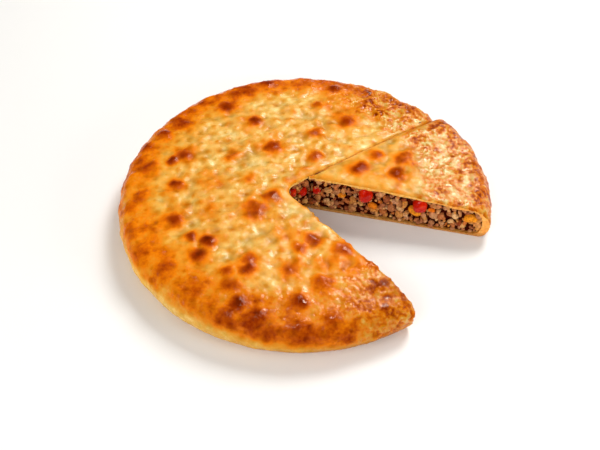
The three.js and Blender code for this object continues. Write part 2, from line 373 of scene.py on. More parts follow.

# %% [markdown]
# ## Blisters
# In the oven, air under the lid lifts small domes, and they burn darkest because they stand closest to
# the heat. They could be scattered at random, but the eye knows the large ones from the photograph, so
# those are listed one by one: bearing, distance from the middle, width, and how dark each one is. A slow
# wander of the plan keeps them from being quite round.

# %% Large blisters, listed one by one
BLISTERS = [
    (119, 48, 12, 1.0), (118, 86, 11, 0.9), (160, 105, 14, 0.8), (165, 110, 9, 0.9), (180, 102, 11, 0.9),
    (217, 29, 13, 0.8), (175, 42, 9, 0.5), (151, 65, 11, 0.5), (221, 48, 18, 0.7), (123, 118, 14, 0.9),
    (143, 131, 16, 0.8), (151, 133, 12, 0.9), (170, 128, 16, 0.5), (78, 62, 11, 0.6), (68, 32, 12, 0.6),
    (81, 100, 9, 0.6), (63, 86, 14, 0.8), (52, 114, 14, 0.9), (76, 128, 10, 0.9), (63, 134, 10, 0.9),
    (201, 108, 14, 0.8), (214, 103, 9, 0.8), (221, 97, 12, 1.0), (224, 109, 14, 0.8), (244, 92, 12, 0.7),
    (246, 100, 11, 0.9), (239, 109, 9, 0.8), (243, 119, 15, 0.6), (249, 131, 14, 1.0), (269, 122, 13, 1.0),
    (256, 140, 18, 0.8), (247, 144, 16, 0.6), (220, 136, 15, 0.6), (278, 64, 12, 0.8), (270, 71, 11, 0.6),
    (265, 92, 15, 0.5), (270, 145, 18, 0.6), (294, 80, 14, 0.7), (279, 106, 15, 0.6), (301, 102, 10, 0.6),
    (299, 122, 10, 0.5), (296, 137, 12, 0.4), (280, 139, 13, 0.5), (284, 146, 13, 0.35), (14, 42, 13, 0.9),
    (5, 72, 13, 0.9), (17, 82, 14, 0.7), (26, 62, 12, 0.6), (28, 107, 18, 0.4), (31, 131, 13, 0.6),
    (354, 105, 11, 0.35), (354, 137, 11, 0.5), (292, 98, 24, 0.25), (284, 90, 20, 0.25), (64, 100, 28, 0.25),
    (76, 104, 19, 0.2), (59, 120, 19, 0.4), (204, 79, 17, 0.2), (258, 58, 19, 0.2), (112, 131, 15, 0.7),
    (103, 137, 12, 0.8), (129, 137, 12, 0.5), (116, 129, 12, 0.6), (159, 140, 10, 0.7), (21, 108, 14, 0.25),
    (25, 137, 11, 0.4), (4, 123, 10, 0.35), (10, 134, 11, 0.35), (233, 137, 21, 0.3), (241, 143, 17, 0.3),
    (261, 149, 17, 0.5), (267, 145, 14, 0.4), (177, 74, 22, 0.2), (189, 139, 12, 0.3), (184, 129, 13, 0.25),
    (197, 145, 10, 0.3), (201, 138, 12, 0.3), (210, 142, 21, 0.25),
]
WANDER = 0.9
WANDER_X = (3.1, 7.3, 1.3, 2.9)
WANDER_Y = (2.7, 6.1, 1.5, -3.3)


def wander(a, b, lengths):
    """A slow wave along a, bent by b, with a finer one on it."""
    slow, bend, fine, lean = lengths
    return WANDER * (np.sin(a / slow + np.sin(b / bend)) + np.sin(a / fine + b / lean) / 4)


def blister_share(x, y, spread, crispness):
    """How far each place belongs to a blister. spread widens the blisters and crispness edges them."""
    wandered_x, wandered_y = x + wander(y, x, WANDER_X), y + wander(x, y, WANDER_Y)
    share = np.zeros_like(x)
    for bearing, distance, width, dark in BLISTERS:
        angle = math.radians(bearing)
        away = np.hypot(wandered_x - distance * math.cos(angle), wandered_y - distance * math.sin(angle))
        share = np.maximum(share, dark * np.exp(-((2 * away / (width * spread)) ** crispness)))
    return share


print(f"{len(BLISTERS)} blisters placed")

# %% [markdown]
# ## Zones of the skin
# A baked skin is not the same all over: the rim dries out, the right side crackles, fat lies on the flat
# lid and runs off the steep side, and the dough beside a knife line is pressed flat. Painting such zones
# by hand would tie them to one mesh. Here every zone is a soft step between two places, kept as one
# number for each point, so that both the relief and the finish can read it.

# %% Soft steps between two places
# Each zone runs from its first value, where it is 0, to its second, where it is 1.
ZONES = {
    "clear of the pan": (1.0, 9.0), "foot height": (5, 14), "side height": (4, 14), "bulge height": (8, 22),
    "shoulder height": (14, 27), "lid height": (22, 29),
    "dry rim": (94, 122), "dull rim": (92, 120), "front rim": (100, 125), "crackled rim": (100, 135),
    "outer slice": (80, 105), "outer back": (50, 75),
    "right": (0.1, 0.6), "a little right": (0.05, 0.3), "left": (0.1, 0.8), "front right": (0.55, 0.95),
    "front": (0.45, 0.8), "near front": (0.45, 0.75), "corner x": (0.42, 0.56), "corner y": (0.4, 0.6),
    "towards the light": (0, 65), "beside a cut": (1.0, 9.0), "beside the back cut": (2.0, 7.0),
}
# Middle, half width and fading edge of a sector, in degrees.
SLICE_SECTOR = (11, 25, 6)
BACK_SECTOR = (50, 30, 15)


def smooth_step(value, low, high):
    """0 below low, 1 above high and an easy curve between."""
    share = np.clip((value - low) / (high - low), 0, 1)
    return share * share * (3 - 2 * share)


def zone(value, name):
    """How far a value lies inside a named zone."""
    return smooth_step(value, *ZONES[name])


def sector(x, y, middle, half_width, fade):
    """1 inside a sector of the round, given in degrees, and 0 outside it."""
    return smooth_step(half_width - np.abs(np.degrees(np.arctan2(y, x)) - middle), 0, fade)


def at_corner(x, y):
    """1 at the corner of the pie between its rim and the gap, and 0 away from it."""
    return zone(x / RADIUS, "corner x") * zone(-y / RADIUS, "corner y")


def blend(low, high, share):
    """low where share is 0 and high where it is 1."""
    return low + (high - low) * share


def points_of(mesh):
    """All points of a mesh as rows."""
    flat = np.empty(len(mesh.vertices) * 3, np.float32)
    mesh.vertices.foreach_get("co", flat)
    return flat.reshape(-1, 3)


def store(mesh, name, values):
    """Keeps one number for each point under a name."""
    layer = mesh.attributes.get(name) or mesh.attributes.new(name, "FLOAT", "POINT")
    layer.data.foreach_set("value", np.asarray(values, np.float32))


def recall(mesh, name):
    """The numbers kept under a name."""
    values = np.empty(len(mesh.vertices), np.float32)
    mesh.attributes[name].data.foreach_get("value", values)
    return values


print(f"{len(ZONES)} zones named")

# %% Numbers for every point of the skin
BLISTER_EDGE = (1.0, 2.7)
HALO_EDGE = (2.0, 2.0)
DRY_LEAN = 24.0
CRACKLED_LEAN = 30.0
LEAST_BLOTCHY = 0.3
FRONT_SHADE = 0.45
GLAZE_LOST = {"dull": 0.8, "blister": 0.9, "halo": 0.4, "slice": 0.55, "back": 0.4, "spot": 0.75}
SIDE_GLAZE = 0.2
CRACKLED_SIDE_GLAZE = 0.6
LIGHT_WAY = (0.52, 0.85)
GLEAM = 0.9
GLEAM_FROM = 0.28
GLEAM_LOST = {"towards the light": 0.85, "slice": 0.7}
PRESSED = 0.3
SLICE_CALM = 0.35
CRISPER = {"right": 0.9, "front": 1.3}


def skin_zones(x, y, z):
    """One number a point for each name: where the skin is blistered, dry, glossy, crackled or shaded."""
    out, to_front = np.hypot(x, y), -y / RADIUS
    to_right = x / np.maximum(out, 1.0)
    blister, halo = blister_share(x, y, *BLISTER_EDGE), blister_share(x, y, *HALO_EDGE)
    in_slice, on_lid = sector(x, y, *SLICE_SECTOR), zone(z, "lid height")
    dry = zone(out + DRY_LEAN * x / RADIUS, "dry rim")
    crackled = zone(out + CRACKLED_LEAN * to_right, "crackled rim") * zone(to_right, "right")
    foot_shade = (1 - zone(z, "foot height")) * zone((x - y) / RADIUS, "front right")
    front_shade = FRONT_SHADE * zone(to_front, "front") * zone(out, "front rim")
    dull = zone(out, "dull rim") * zone(-to_right, "left")
    glaze = (1 - GLAZE_LOST["dull"] * dull) * (1 - GLAZE_LOST["blister"] * blister)
    glaze *= 1 - GLAZE_LOST["halo"] * halo
    glaze *= 1 - GLAZE_LOST["slice"] * in_slice * (1 - zone(out, "outer slice"))
    glaze *= 1 - GLAZE_LOST["back"] * sector(x, y, *BACK_SECTOR) * zone(out, "outer back")
    flat = np.maximum(zone(z, "shoulder height"), CRACKLED_SIDE_GLAZE * crackled * zone(z, "side height"))
    towards_light = zone(LIGHT_WAY[0] * x + LIGHT_WAY[1] * y, "towards the light")
    gleam = GLEAM * np.clip(blister - GLEAM_FROM, 0, 1) * (1 - blister) * on_lid
    gleam *= 1 - GLEAM_LOST["towards the light"] * towards_light
    beside_cut = np.minimum(distance_to(gap_edge(0.0), x, y), distance_to(slice_edge(0.0), x, y))
    beside_back = distance_to(np.vstack([slice_edge(0.0)[0], BACK_END]), x, y)
    free = blend(PRESSED, 1.0, zone(np.minimum(beside_cut, beside_back), "beside a cut"))
    crisper = 1 + CRISPER["right"] * (1 - in_slice) * zone(to_right, "a little right")
    crisper += CRISPER["front"] * zone(to_front, "near front") * (1 - crackled)
    return {
        "blister": blister,
        "halo": halo,
        "open_air": zone(z, "clear of the pan"),
        "dry_rim": dry,
        "crackled": crackled,
        "blotchy": blend(LEAST_BLOTCHY, 1.0, zone(z, "bulge height")),
        "sparkly": dry * on_lid,
        "shady": np.maximum(foot_shade, front_shade) * (1 - at_corner(x, y)),
        "glaze": glaze * blend(SIDE_GLAZE, 1.0, flat),
        "gleam": gleam * (1 - GLEAM_LOST["slice"] * in_slice),
        "beside_cut": beside_cut,
        "unpressed": free * (1 - SLICE_CALM * in_slice),
        "crisp_share": crisper * zone(beside_back, "beside the back cut"),
        "skin": np.ones(len(x)),
    }


skin_numbers = skin_zones(*points_of(dough.data).T)
for name, values in skin_numbers.items():
    store(dough.data, name, values)
print("kept for each point:", ", ".join(skin_numbers))

# %% [markdown]
# ## Lumps, dimples and small bubbles
# The rest of the lid follows a rule: soft lumps where the filling pushes up, pillows with creases between
# them, dimples under a centimetre across, small scattered bubbles, and a fine crackle on the dry rim. A
# rule over a whole surface is work for geometry nodes: noise moves every point along its own normal, less
# near the foot, where the dough lay on the pan. The tree also keeps its noises as named numbers, because
# the oven browns high places first.

# %% Parts of a geometry tree
PILLOW_SEED = 620.0
PILLOW_LEVEL = 0.54
CREASE_ROUND = 0.09


def new_tree(name, numbers, others=()):
    """A geometry tree with a geometry and named numbers going in. Returns the tree and its inputs."""
    tree = bpy.data.node_groups.new(name, "GeometryNodeTree")
    sockets = [("Geometry", "NodeSocketGeometry"), *((key, "NodeSocketFloat") for key in numbers), *others]
    for key, kind in sockets:
        tree.interface.new_socket(key, in_out="INPUT", socket_type=kind)
    tree.interface.new_socket("Geometry", in_out="OUTPUT", socket_type="NodeSocketGeometry")
    return tree, add_node(tree, "NodeGroupInput").outputs


def named(tree, name):
    """A number that the mesh keeps for each point, in a geometry tree."""
    return made(tree, "GeometryNodeInputNamedAttribute", {"Name": name})


def noise_swing(tree, size, detail, seed):
    """Noise of a size that swings about 0, mostly between -1 and 1."""
    place = made(tree, "GeometryNodeInputPosition")
    moved = made(tree, "ShaderNodeVectorMath", {0: place, 1: (seed, seed, seed)})
    scale = calc(tree, "DIVIDE", 1.0, size)
    noise = add_node(tree, "ShaderNodeTexNoise", {"Vector": moved, "Scale": scale, "Detail": detail})
    return more(tree, -2.0, noise.outputs["Fac"], 4.0)


def random_between(tree, low, high, seed):
    """A random number for each point."""
    return made(tree, "FunctionNodeRandomValue", {2: low, 3: high, "Seed": seed}, out=1)


def scattered(tree, given, what, seed, where=True):
    """Points spread over the faces where that is so, by the inputs for the spacing and density of what."""
    spread = {"Mesh": given["Geometry"], "Selection": where, "Seed": seed}
    spread.update({"Distance Min": given[f"{what}Spacing"], "Density Max": given[f"{what}Density"]})
    return add_node(tree, "GeometryNodeDistributePointsOnFaces", spread, distribute_method="POISSON").outputs


def scaled_way(tree, way, amount):
    """A way made longer or shorter."""
    return made(tree, "ShaderNodeVectorMath", {0: way, "Scale": amount}, operation="SCALE")


def pushed(tree, geometry, way, amount):
    """The geometry with every point moved along its way."""
    moved = {"Geometry": geometry, "Offset": scaled_way(tree, way, amount)}
    return made(tree, "GeometryNodeSetPosition", moved)


def pillows(tree, size):
    """Soft pillows of uneven shape with creases between them, from about -0.25 in a crease to 1."""
    swing = noise_swing(tree, size, 1.0, PILLOW_SEED)
    rounded = more(tree, CREASE_ROUND, swing, swing)
    return calc(tree, "ADD", calc(tree, "SQRT", rounded), -PILLOW_LEVEL)


print("parts of a geometry tree ready")

# %% A tree that raises the lid
RELIEF = {
    "Lump Size": 18.0,
    "Lump Depth": 0.8,
    "Rim Lump Depth": 0.3,
    "Crackled Lump Depth": 0.9,
    "Rim Shrink": 0.6,
    "Dimple Size": 9.0,
    "Dimple Depth": 1.0,
    "Pillow Size": 14.0,
    "Pillow Height": 1.8,
    "Crackle Size": 3.2,
    "Crackle Depth": 0.36,
    "Rim Crackle": 0.4,
    "Rim Flatness": -0.65,
    "Blister Height": 1.8,
    "Blister Flatness": -0.8,
    "Spot Spacing": 9.0,
    "Spot Density": 0.1,
    "Smallest Spot": 2.4,
    "Largest Spot": 5.2,
    "Spot Height": 0.3,
    "Mottle Size": 26.0,
    "Speckle Size": 11.0,
    "Deepest": -1.3,
}
# Detail and seed of each noise.
NOISES = {"lump": (1.0, 40.0), "dimple": (1.0, 75.0), "crackle": (1.0, 510.0), "mottle": (2.0, 210.0)}
NOISES["speckle"] = (1.0, 330.0)
SPOT_SEED = 12
SPOT_SIZE_SEED = 5
SPOT_WANDER = 3.0
SPOT_WANDER_SCALE = 0.3
SPOT_EDGE = (0.1, 1.25)


def spots(tree, given):
    """Small bubbles scattered over the lid, 1 in the middle of each and 0 between them."""
    points = scattered(tree, given, "Spot ", SPOT_SEED)["Points"]
    place = made(tree, "GeometryNodeInputPosition")
    sway = {"Vector": place, "Scale": SPOT_WANDER_SCALE, "Detail": 1.0}
    sway = made(tree, "ShaderNodeTexNoise", sway, out="Color")
    wandered = {0: sway, 1: (SPOT_WANDER,) * 3, 2: place}
    wandered = made(tree, "ShaderNodeVectorMath", wandered, operation="MULTIPLY_ADD")
    near = {"Geometry": points, "Sample Position": wandered}
    nearest = made(tree, "GeometryNodeSampleNearest", near)
    near = {"Geometry": points, "Source Position": wandered}
    away = made(tree, "GeometryNodeProximity", near, target_element="POINTS", out="Distance")
    chance = calc(tree, "POWER", random_between(tree, 0.0, 1.0, SPOT_SIZE_SEED), 2.0)
    chance = {"Geometry": points, "Value": chance, "Index": nearest}
    chance = made(tree, "GeometryNodeSampleIndex", chance)
    larger = calc(tree, "SUBTRACT", given["Largest Spot"], given["Smallest Spot"])
    reach = more(tree, given["Smallest Spot"], chance, larger)
    return remap(tree, calc(tree, "DIVIDE", away, reach), *SPOT_EDGE, 1.0, 0.0, "SMOOTHSTEP")


def relief_tree():
    """Raises lumps, dimples and blisters, and keeps the noises that the browning uses."""
    tree, given = new_tree("baked relief", RELIEF)
    noise = {}
    for name, (detail, seed) in NOISES.items():
        noise[name] = noise_swing(tree, given[f"{name.title()} Size"], detail, seed)
    pillow, spot = pillows(tree, given["Pillow Size"]), spots(tree, given)
    dry, crackled, blister = (named(tree, name) for name in ("dry_rim", "crackled", "blister"))
    lump_depth = more(tree, given["Lump Depth"], dry, given["Rim Lump Depth"])
    lump_depth = more(tree, lump_depth, crackled, given["Crackled Lump Depth"])
    small = times(tree, noise["dimple"], given["Dimple Depth"])
    small = summed(tree, small, (pillow, given["Pillow Height"]), (spot, given["Spot Height"]))
    small = times(tree, small, more(tree, 1.0, dry, given["Rim Flatness"]))
    small = times(tree, small, more(tree, 1.0, blister, given["Blister Flatness"]))
    height = more(tree, small, noise["lump"], lump_depth)
    height = times(tree, height, named(tree, "unpressed"))
    crisp = times(tree, noise["crackle"], more(tree, crackled, dry, given["Rim Crackle"]))
    crisp = times(tree, crisp, named(tree, "crisp_share"))
    height = more(tree, height, crisp, given["Crackle Depth"])
    height = calc(tree, "SUBTRACT", height, times(tree, dry, given["Rim Shrink"]))
    height = calc(tree, "MAXIMUM", height, given["Deepest"])
    height = more(tree, height, blister, given["Blister Height"])
    height = times(tree, height, named(tree, "open_air"))
    geometry = given["Geometry"]
    noise.update({"pillow": pillow, "spot": spot, "crisp": crisp})
    for name, value in noise.items():
        values = {"Geometry": geometry, "Name": name, "Value": value}
        geometry = made(tree, "GeometryNodeStoreNamedAttribute", values)
    normal = made(tree, "GeometryNodeInputNormal")
    add_node(tree, "NodeGroupOutput", {"Geometry": pushed(tree, geometry, normal, height)})
    return tree


print(f"relief with {len(RELIEF)} named inputs")


# %% Raise the lid
def made_plain(thing):
    """Leaves the evaluated result as the object's own mesh, without modifiers."""
    depsgraph = bpy.context.evaluated_depsgraph_get()
    result = bpy.data.meshes.new_from_object(thing.evaluated_get(depsgraph))
    thing.modifiers.clear()
    thing.data = result
    return thing


def with_tree(thing, tree, values):
    """Runs a geometry tree on an object and leaves the result as its plain mesh."""
    modifier = thing.modifiers.new(tree.name, "NODES")
    modifier.node_group = tree
    for item in tree.interface.items_tree:
        if item.in_out == "INPUT" and item.name in values:
            modifier[item.identifier] = values[item.name]
    return made_plain(thing)


with_tree(dough, relief_tree(), RELIEF)
print(f"lid up to {points_of(dough.data)[:, 2].max():.1f} mm")

# %% [markdown]
# ## Browning
# The oven colours the rim first, then whatever stands up, and leaves the hollows pale. One number for
# each point, 0 for raw and 1 for scorched, holds all of it: a rim zone that is wider at the front, the
# blisters and their golden haloes, the pillows, bubbles and lumps, and on the crackle of the dry right side
# painted shade in its hollows and painted highlight on its tops.
# The lower side of the rim stays pale at the front left, because the pan kept the heat off it.

# %% Work out the browning
RIM_START = 106.0
RIM_LEAN = 8.0
RIM_WAVER = 12.0
RIM_WIDTH = 24.0
PALE_SLICE = 26.0
PALE_SLICE_FADE = 10
PALE_SIDE_TOP = 10.0
PALE_SIDE_LEAN = 11.0
PALE_SIDE_WAVER = 3.0
PALE_SIDE_EDGE = (-6, 5)
SLICE_WAVER = 4.0
MOST_CRISP = 0.8
BURN = 0.75
BROWN = {
    "all over": 0.112, "rim": 0.38, "back rim": 0.12, "left rim": -0.03, "front rim": -0.06, "pillow": 0.13,
    "spot": 0.24, "lump": 0.045, "rim lump": 0.05, "rim mottle": 0.06, "inner slice": 0.04,
    "outer slice": 0.2, "crackled": 0.02, "crackled slice": 0.04, "crack": 0.22, "painted slice crackle shading": 0.08,
    "painted front crackle shading": 0.1, "corner": -0.08, "cut edge": 0.1, "most": 0.62, "halo": 0.46, "blister": 0.9,
    "under": 0.4, "under mottle": 0.12, "foot": 0.34, "front left foot": -0.27, "corner foot": -0.1,
}
LESS = {
    "rim where crackled": 0.42, "pillow at the rim": 0.6, "spot at the rim": 0.5, "painted crackle shading at the front": 0.5,
    "broken at the front": 0.5, "halo where broken": 0.5, "blister where broken": 0.75,
}
ZONES.update({
    "back side": (0.4, 0.9), "left side": (0.4, 0.9), "front side": (0.3, 0.6), "pillow top": (-0.2, 0.4),
    "pillow mottle": (-1.2, 0.6), "spot mottle": (-1.4, 0.2), "slice lid": (75, 100),
    "slice rim": (127, 141), "cut edge": (1.0, 5.0), "crack": (-0.3, 0.3), "off the pan": (0.2, 2.0),
})


def baked_lid(mesh, x, y):
    """How brown the lid and the rim are, before the blisters."""
    needed = ("mottle", "lump", "pillow", "crackled")
    mottle, lump, pillow, crackled = (recall(mesh, name) for name in needed)
    crisp = np.clip(recall(mesh, "crisp"), -MOST_CRISP, MOST_CRISP)
    in_slice, front, out = sector(x, y, *SLICE_SECTOR), zone(-y / RADIUS, "front side"), np.hypot(x, y)
    start = RIM_START + RIM_LEAN * (y - x) / RADIUS / math.sqrt(2) + RIM_WAVER * mottle
    start += PALE_SLICE * sector(x, y, *SLICE_SECTOR[:2], PALE_SLICE_FADE)
    rim = smooth_step(out, start, start + RIM_WIDTH)
    rim_brown = BROWN["rim"] + BROWN["back rim"] * zone(y / RADIUS, "back side")
    rim_brown += BROWN["left rim"] * zone(-x / RADIUS, "left side")
    brown = BROWN["all over"] + rim_brown * rim * (1 - LESS["rim where crackled"] * crackled * (1 - front))
    top = zone(pillow, "pillow top") * zone(mottle, "pillow mottle")
    brown += BROWN["pillow"] * top * (1 - LESS["pillow at the rim"] * rim)
    spot = recall(mesh, "spot") * zone(mottle, "spot mottle") * (1 - in_slice)
    brown += BROWN["spot"] * spot * (1 - LESS["spot at the rim"] * rim)
    brown += (BROWN["lump"] + BROWN["rim lump"] * rim) * (lump + mottle)
    brown += BROWN["rim mottle"] * rim * mottle
    brown += in_slice * BROWN["inner slice"] * (1 - zone(out, "slice lid"))
    brown += in_slice * BROWN["outer slice"] * zone(out + SLICE_WAVER * mottle, "slice rim")
    # Painted shade and highlight: the crackle's hollows are made browner and its raised tops paler, more so
    # at the front.
    crack = (BROWN["crack"] + BROWN["painted slice crackle shading"] * in_slice) * crisp
    crack *= 1 - LESS["painted crackle shading at the front"] * front
    brown += crackled * (BROWN["crackled"] + BROWN["crackled slice"] * in_slice - crack)
    brown += front * (BROWN["front rim"] * rim - BROWN["painted front crackle shading"] * crisp)
    brown = np.minimum(brown, BROWN["most"]) + BROWN["corner"] * at_corner(x, y)
    return brown + BROWN["cut edge"] * (1 - zone(recall(mesh, "beside_cut"), "cut edge"))


def browning(mesh):
    """How brown each point of the skin is, 0 for raw and 1 for scorched."""
    x, y, z = points_of(mesh).T
    mottle, speckle = recall(mesh, "mottle"), recall(mesh, "speckle")
    brown = baked_lid(mesh, x, y)
    front = zone(-y / RADIUS, "front side")
    broken = recall(mesh, "crackled") * (1 - LESS["broken at the front"] * front)
    halo = recall(mesh, "halo") * (1 - LESS["halo where broken"] * broken)
    brown = blend(brown, np.maximum(brown, BROWN["halo"]), halo)
    burnt = recall(mesh, "blister") ** BURN
    burnt *= 1 - LESS["blister where broken"] * broken * zone(recall(mesh, "crisp"), "crack")
    brown = blend(brown, BROWN["blister"], burnt)
    front_left = np.clip(-(x + y) / RADIUS / math.sqrt(2), 0, 1) ** 2
    pale_top = PALE_SIDE_TOP + PALE_SIDE_LEAN * front_left - PALE_SIDE_WAVER * mottle
    side = smooth_step(z, pale_top + PALE_SIDE_EDGE[0], pale_top + PALE_SIDE_EDGE[1])
    under = BROWN["under"] + BROWN["under mottle"] * (mottle + speckle)
    foot = BROWN["foot"] + BROWN["front left foot"] * front_left + BROWN["corner foot"] * at_corner(x, y)
    pale_side = blend(under, foot, zone(z, "off the pan"))
    return np.clip(blend(pale_side, brown, side), 0, 1)


brown = browning(dough.data)
store(dough.data, "browning", brown)
off_spots = 1 - GLAZE_LOST["spot"] * recall(dough.data, "spot")
store(dough.data, "glaze", recall(dough.data, "glaze") * off_spots)
print(f"browning from {brown.min():.2f} to {brown.max():.2f}")

# %% [markdown]
# ## The baked skin
# Baked dough is a coloured skin under a film of fat. The browning number runs through a ramp from cream
# to scorched brown, and flecks, blotches and fine veins break its edges. A picture of a crust could be
# wrapped round the pie instead, but it would show seams and fix the light in place. The fat shines most on
# the pale lid, lies in pools, and leaves small sparks on the dry rim and on the flanks of the blisters.

# %% Colour of the baked skin
FLECK = 2.2 * MM
WRINKLE = 2.0 * MM
FRECKLE = 1.8 * MM
VEIN = 3.4 * MM
BLOTCH = 9 * MM
PATCH = 8 * MM
PORE = 0.6 * MM
POOL = 8 * MM
SPARK = 4.5 * MM
CREAM_TO_SCORCHED = [
    (0.0, paint(248, 210, 132)),
    (0.1, paint(232, 178, 82)),
    (0.18, paint(232, 166, 66)),
    (0.28, paint(230, 150, 40)),
    (0.46, paint(232, 124, 8)),
    (0.64, paint(198, 88, 4)),
    (0.82, paint(152, 50, 0)),
    (1.0, paint(104, 26, 0)),
]
TONE = {"fleck": 0.12, "dry fleck": 0.14, "hollow": 0.3, "crack": 0.06, "blotch": 0.45, "dry blotch": 0.05}
TONE["crackled blotch"] = 0.4
# While a noise or the tone runs between the first two values, the result runs between the last two.
FRECKLES = (0.58, 0.74, 0.0, 0.06)
PATCHES = (0.5, 0.64, 0.0, 0.1)
CREASES = (-1.0, 0.1)
RIM_CREASES_LOST = -0.8
WHITE = paint(255, 255, 255)
# Painted shade for the dimples, with the grey-green of the filling that shows through the thin dough.
PAINTED_SHADE_AND_GREY_IN_DIMPLES = paint(212, 217, 214)
SPOT_AMBER = paint(232, 234, 210)
# A slightly darker, cooler tint on the crackled rim.
CRACKLED_COOL_TINT = paint(234, 242, 252)
FOOT_SHADE = paint(218, 214, 206)


def skin_tone(tree, fleck, wrinkles, crack):
    """The browning, broken by flecks, freckles and blotches, by veins where the skin crackled, and by
    painted shade and highlight on its crackled wrinkles.
    """
    dry, crackled = number(tree, "dry_rim"), number(tree, "crackled")
    flecked = more(tree, TONE["fleck"], dry, TONE["dry fleck"])
    # Painted shade and highlight: where the skin crackled, it is browner where the wrinkles of its bump dip
    # and paler where they rise.
    hollow = times(tree, calc(tree, "SUBTRACT", 0.5, wrinkles), crackled)
    freckle = remap(tree, grain(tree, FRECKLE, 2.0), *FRECKLES)
    blotch = times(tree, calc(tree, "ADD", grain(tree, BLOTCH, 1.5), -0.5), number(tree, "blotchy"))
    blotched = summed(tree, TONE["blotch"], (dry, TONE["dry blotch"]), (crackled, TONE["crackled blotch"]))
    patch = remap(tree, grain(tree, PATCH, 3.0, 0.6, 0.4), *PATCHES)
    parts = [(calc(tree, "ADD", fleck, -0.5), flecked), (hollow, TONE["hollow"]), (freckle, 1.0)]
    parts += [(crack, TONE["crack"]), (blotch, blotched), (patch, crackled)]
    return summed(tree, number(tree, "browning"), *parts)


def skin_colour(tree, tone):
    """Cream to scorched, greyer with painted shade in the dimples, amber on the bubbles, cooler on the
    crackled rim, and with painted shade at the foot and the front rim.
    """
    colour = ramp(tree, tone, CREAM_TO_SCORCHED)
    # Painted shade in the dimples, together with the grey-green of the filling that shows through there;
    # less of it on the dry rim.
    dimple = remap(tree, number(tree, "dimple"), *CREASES)
    crease = ramp(tree, dimple, [(0.0, PAINTED_SHADE_AND_GREY_IN_DIMPLES), (1.0, WHITE)])
    colour = dyed(tree, colour, crease, more(tree, 1.0, number(tree, "dry_rim"), RIM_CREASES_LOST))
    for name, dye in (("spot", SPOT_AMBER), ("crackled", CRACKLED_COOL_TINT), ("shady", FOOT_SHADE)):
        colour = dyed(tree, colour, dye, number(tree, name))
    return colour


print(f"skin colour of {len(CREAM_TO_SCORCHED)} steps")


# %% Fat and wrinkles of the baked skin
ROUGH = {"all over": 0.38, "dry rim": -0.16, "pool": -0.11, "blister": -0.28, "fleck": 0.14}
POOLS = (0.48, 0.62)
SPARKS = (0.57, 0.69, 0.0, 0.7)
MOIST = (0.22, 0.5, 0.66, 0.2)
CRACKLED_MOIST = (0.4, 0.65, 0.25, 0.0)
CRACKLED_SPARKS = 0.4
MOIST_OFF_POOLS = 0.7
MOIST_IN_POOLS = 0.4
FILM = [(0.25, (1.0, 0.94, 0.88, 1.0)), (0.55, (1.0, 0.78, 0.58, 1.0))]
WRINKLED = {"all over": 0.1, "crackled": 0.4, "dry rim": 0.3, "crack": -0.15}
WRINKLE_DEPTH = 0.6 * MM
PORE_DEPTH = 0.03 * MM
CRACK_WIDTH = 0.09


def skin_shine(tree, tone, fleck):
    """How rough the fat lies and how much of it there is, as inputs of the shader."""
    dry, crackled, blister = (number(tree, name) for name in ("dry_rim", "crackled", "blister"))
    pool = remap(tree, grain(tree, POOL, 1.0), *POOLS)
    parts = {"dry rim": dry, "pool": pool, "blister": blister, "fleck": fleck}
    rough = summed(tree, ROUGH["all over"], *((value, ROUGH[name]) for name, value in parts.items()))
    sparks = times(tree, remap(tree, grain(tree, SPARK, 2.0), *SPARKS), number(tree, "sparkly"))
    sparks = times(tree, sparks, more(tree, 1.0, crackled, CRACKLED_SPARKS))
    moist = more(tree, remap(tree, tone, *MOIST), remap(tree, tone, *CRACKLED_MOIST), crackled)
    moist = times(tree, moist, more(tree, MOIST_OFF_POOLS, pool, MOIST_IN_POOLS))
    oily = summed(tree, sparks, (number(tree, "glaze"), moist), (number(tree, "gleam"), 1.0))
    film = ramp(tree, tone, FILM)
    return {"Roughness": rough, "Specular IOR Level": oily, "Specular Tint": film}


def baked_skin():
    """Skin on the outside of the dough. SKIN_READS names the numbers that it reads."""
    material, tree, shader = new_material("baked_skin")
    dry, crackled = number(tree, "dry_rim"), number(tree, "crackled")
    fleck = grain(tree, FLECK, 3.0)
    wrinkles = grain(tree, WRINKLE, 3.0, 0.6, 0.6)
    vein = calc(tree, "ABSOLUTE", calc(tree, "ADD", grain(tree, VEIN, 2.0, 0.6, 0.5), -0.5))
    crack = times(tree, remap(tree, vein, 0.0, CRACK_WIDTH, 1.0, 0.0), crackled)
    tone = skin_tone(tree, fleck, wrinkles, crack)
    depth = (crackled, WRINKLED["crackled"]), (dry, WRINKLED["dry rim"])
    crisp = times(tree, wrinkles, summed(tree, WRINKLED["all over"], *depth))
    creased = bumped(tree, more(tree, crisp, crack, WRINKLED["crack"]), WRINKLE_DEPTH)
    fill_in(tree, shader, {
        "Base Color": skin_colour(tree, tone),
        "Normal": bumped(tree, grain(tree, PORE, 2.0), PORE_DEPTH, creased),
        "Subsurface Weight": 0.06,
        "Subsurface Radius": (1.0, 0.6, 0.2),
        "Subsurface Scale": 1.5 * MM,
        **skin_shine(tree, tone, fleck),
    })
    return material


SKIN = baked_skin()
SKIN_READS = ("browning", "dry_rim", "glaze", "blister", "crackled", "dimple", "spot", "sparkly", "blotchy")
SKIN_READS += ("gleam", "shady")
dough.data.materials.clear()
dough.data.materials.append(SKIN)
print(f"{SKIN.name} reads {len(SKIN_READS)} numbers of each point")

# %% [markdown]
# ## The soft dough inside
# Where the knife went through, the dough is pale and full of fine holes. It is more golden at the dry rim,
# and close to the thin base it carries painted shade, where the lid shades it. Holes as small as these would
# be wasted as shapes, so a noise gives the colour and a bump gives the holes.

# %% Finish of the cut dough
RIM_GOLD = paint(250, 224, 188)
PAINTED_BASE_SHADE = paint(212, 210, 222)
PAINTED_BASE_SHADE_HEIGHTS = (2 * MM, 6 * MM)


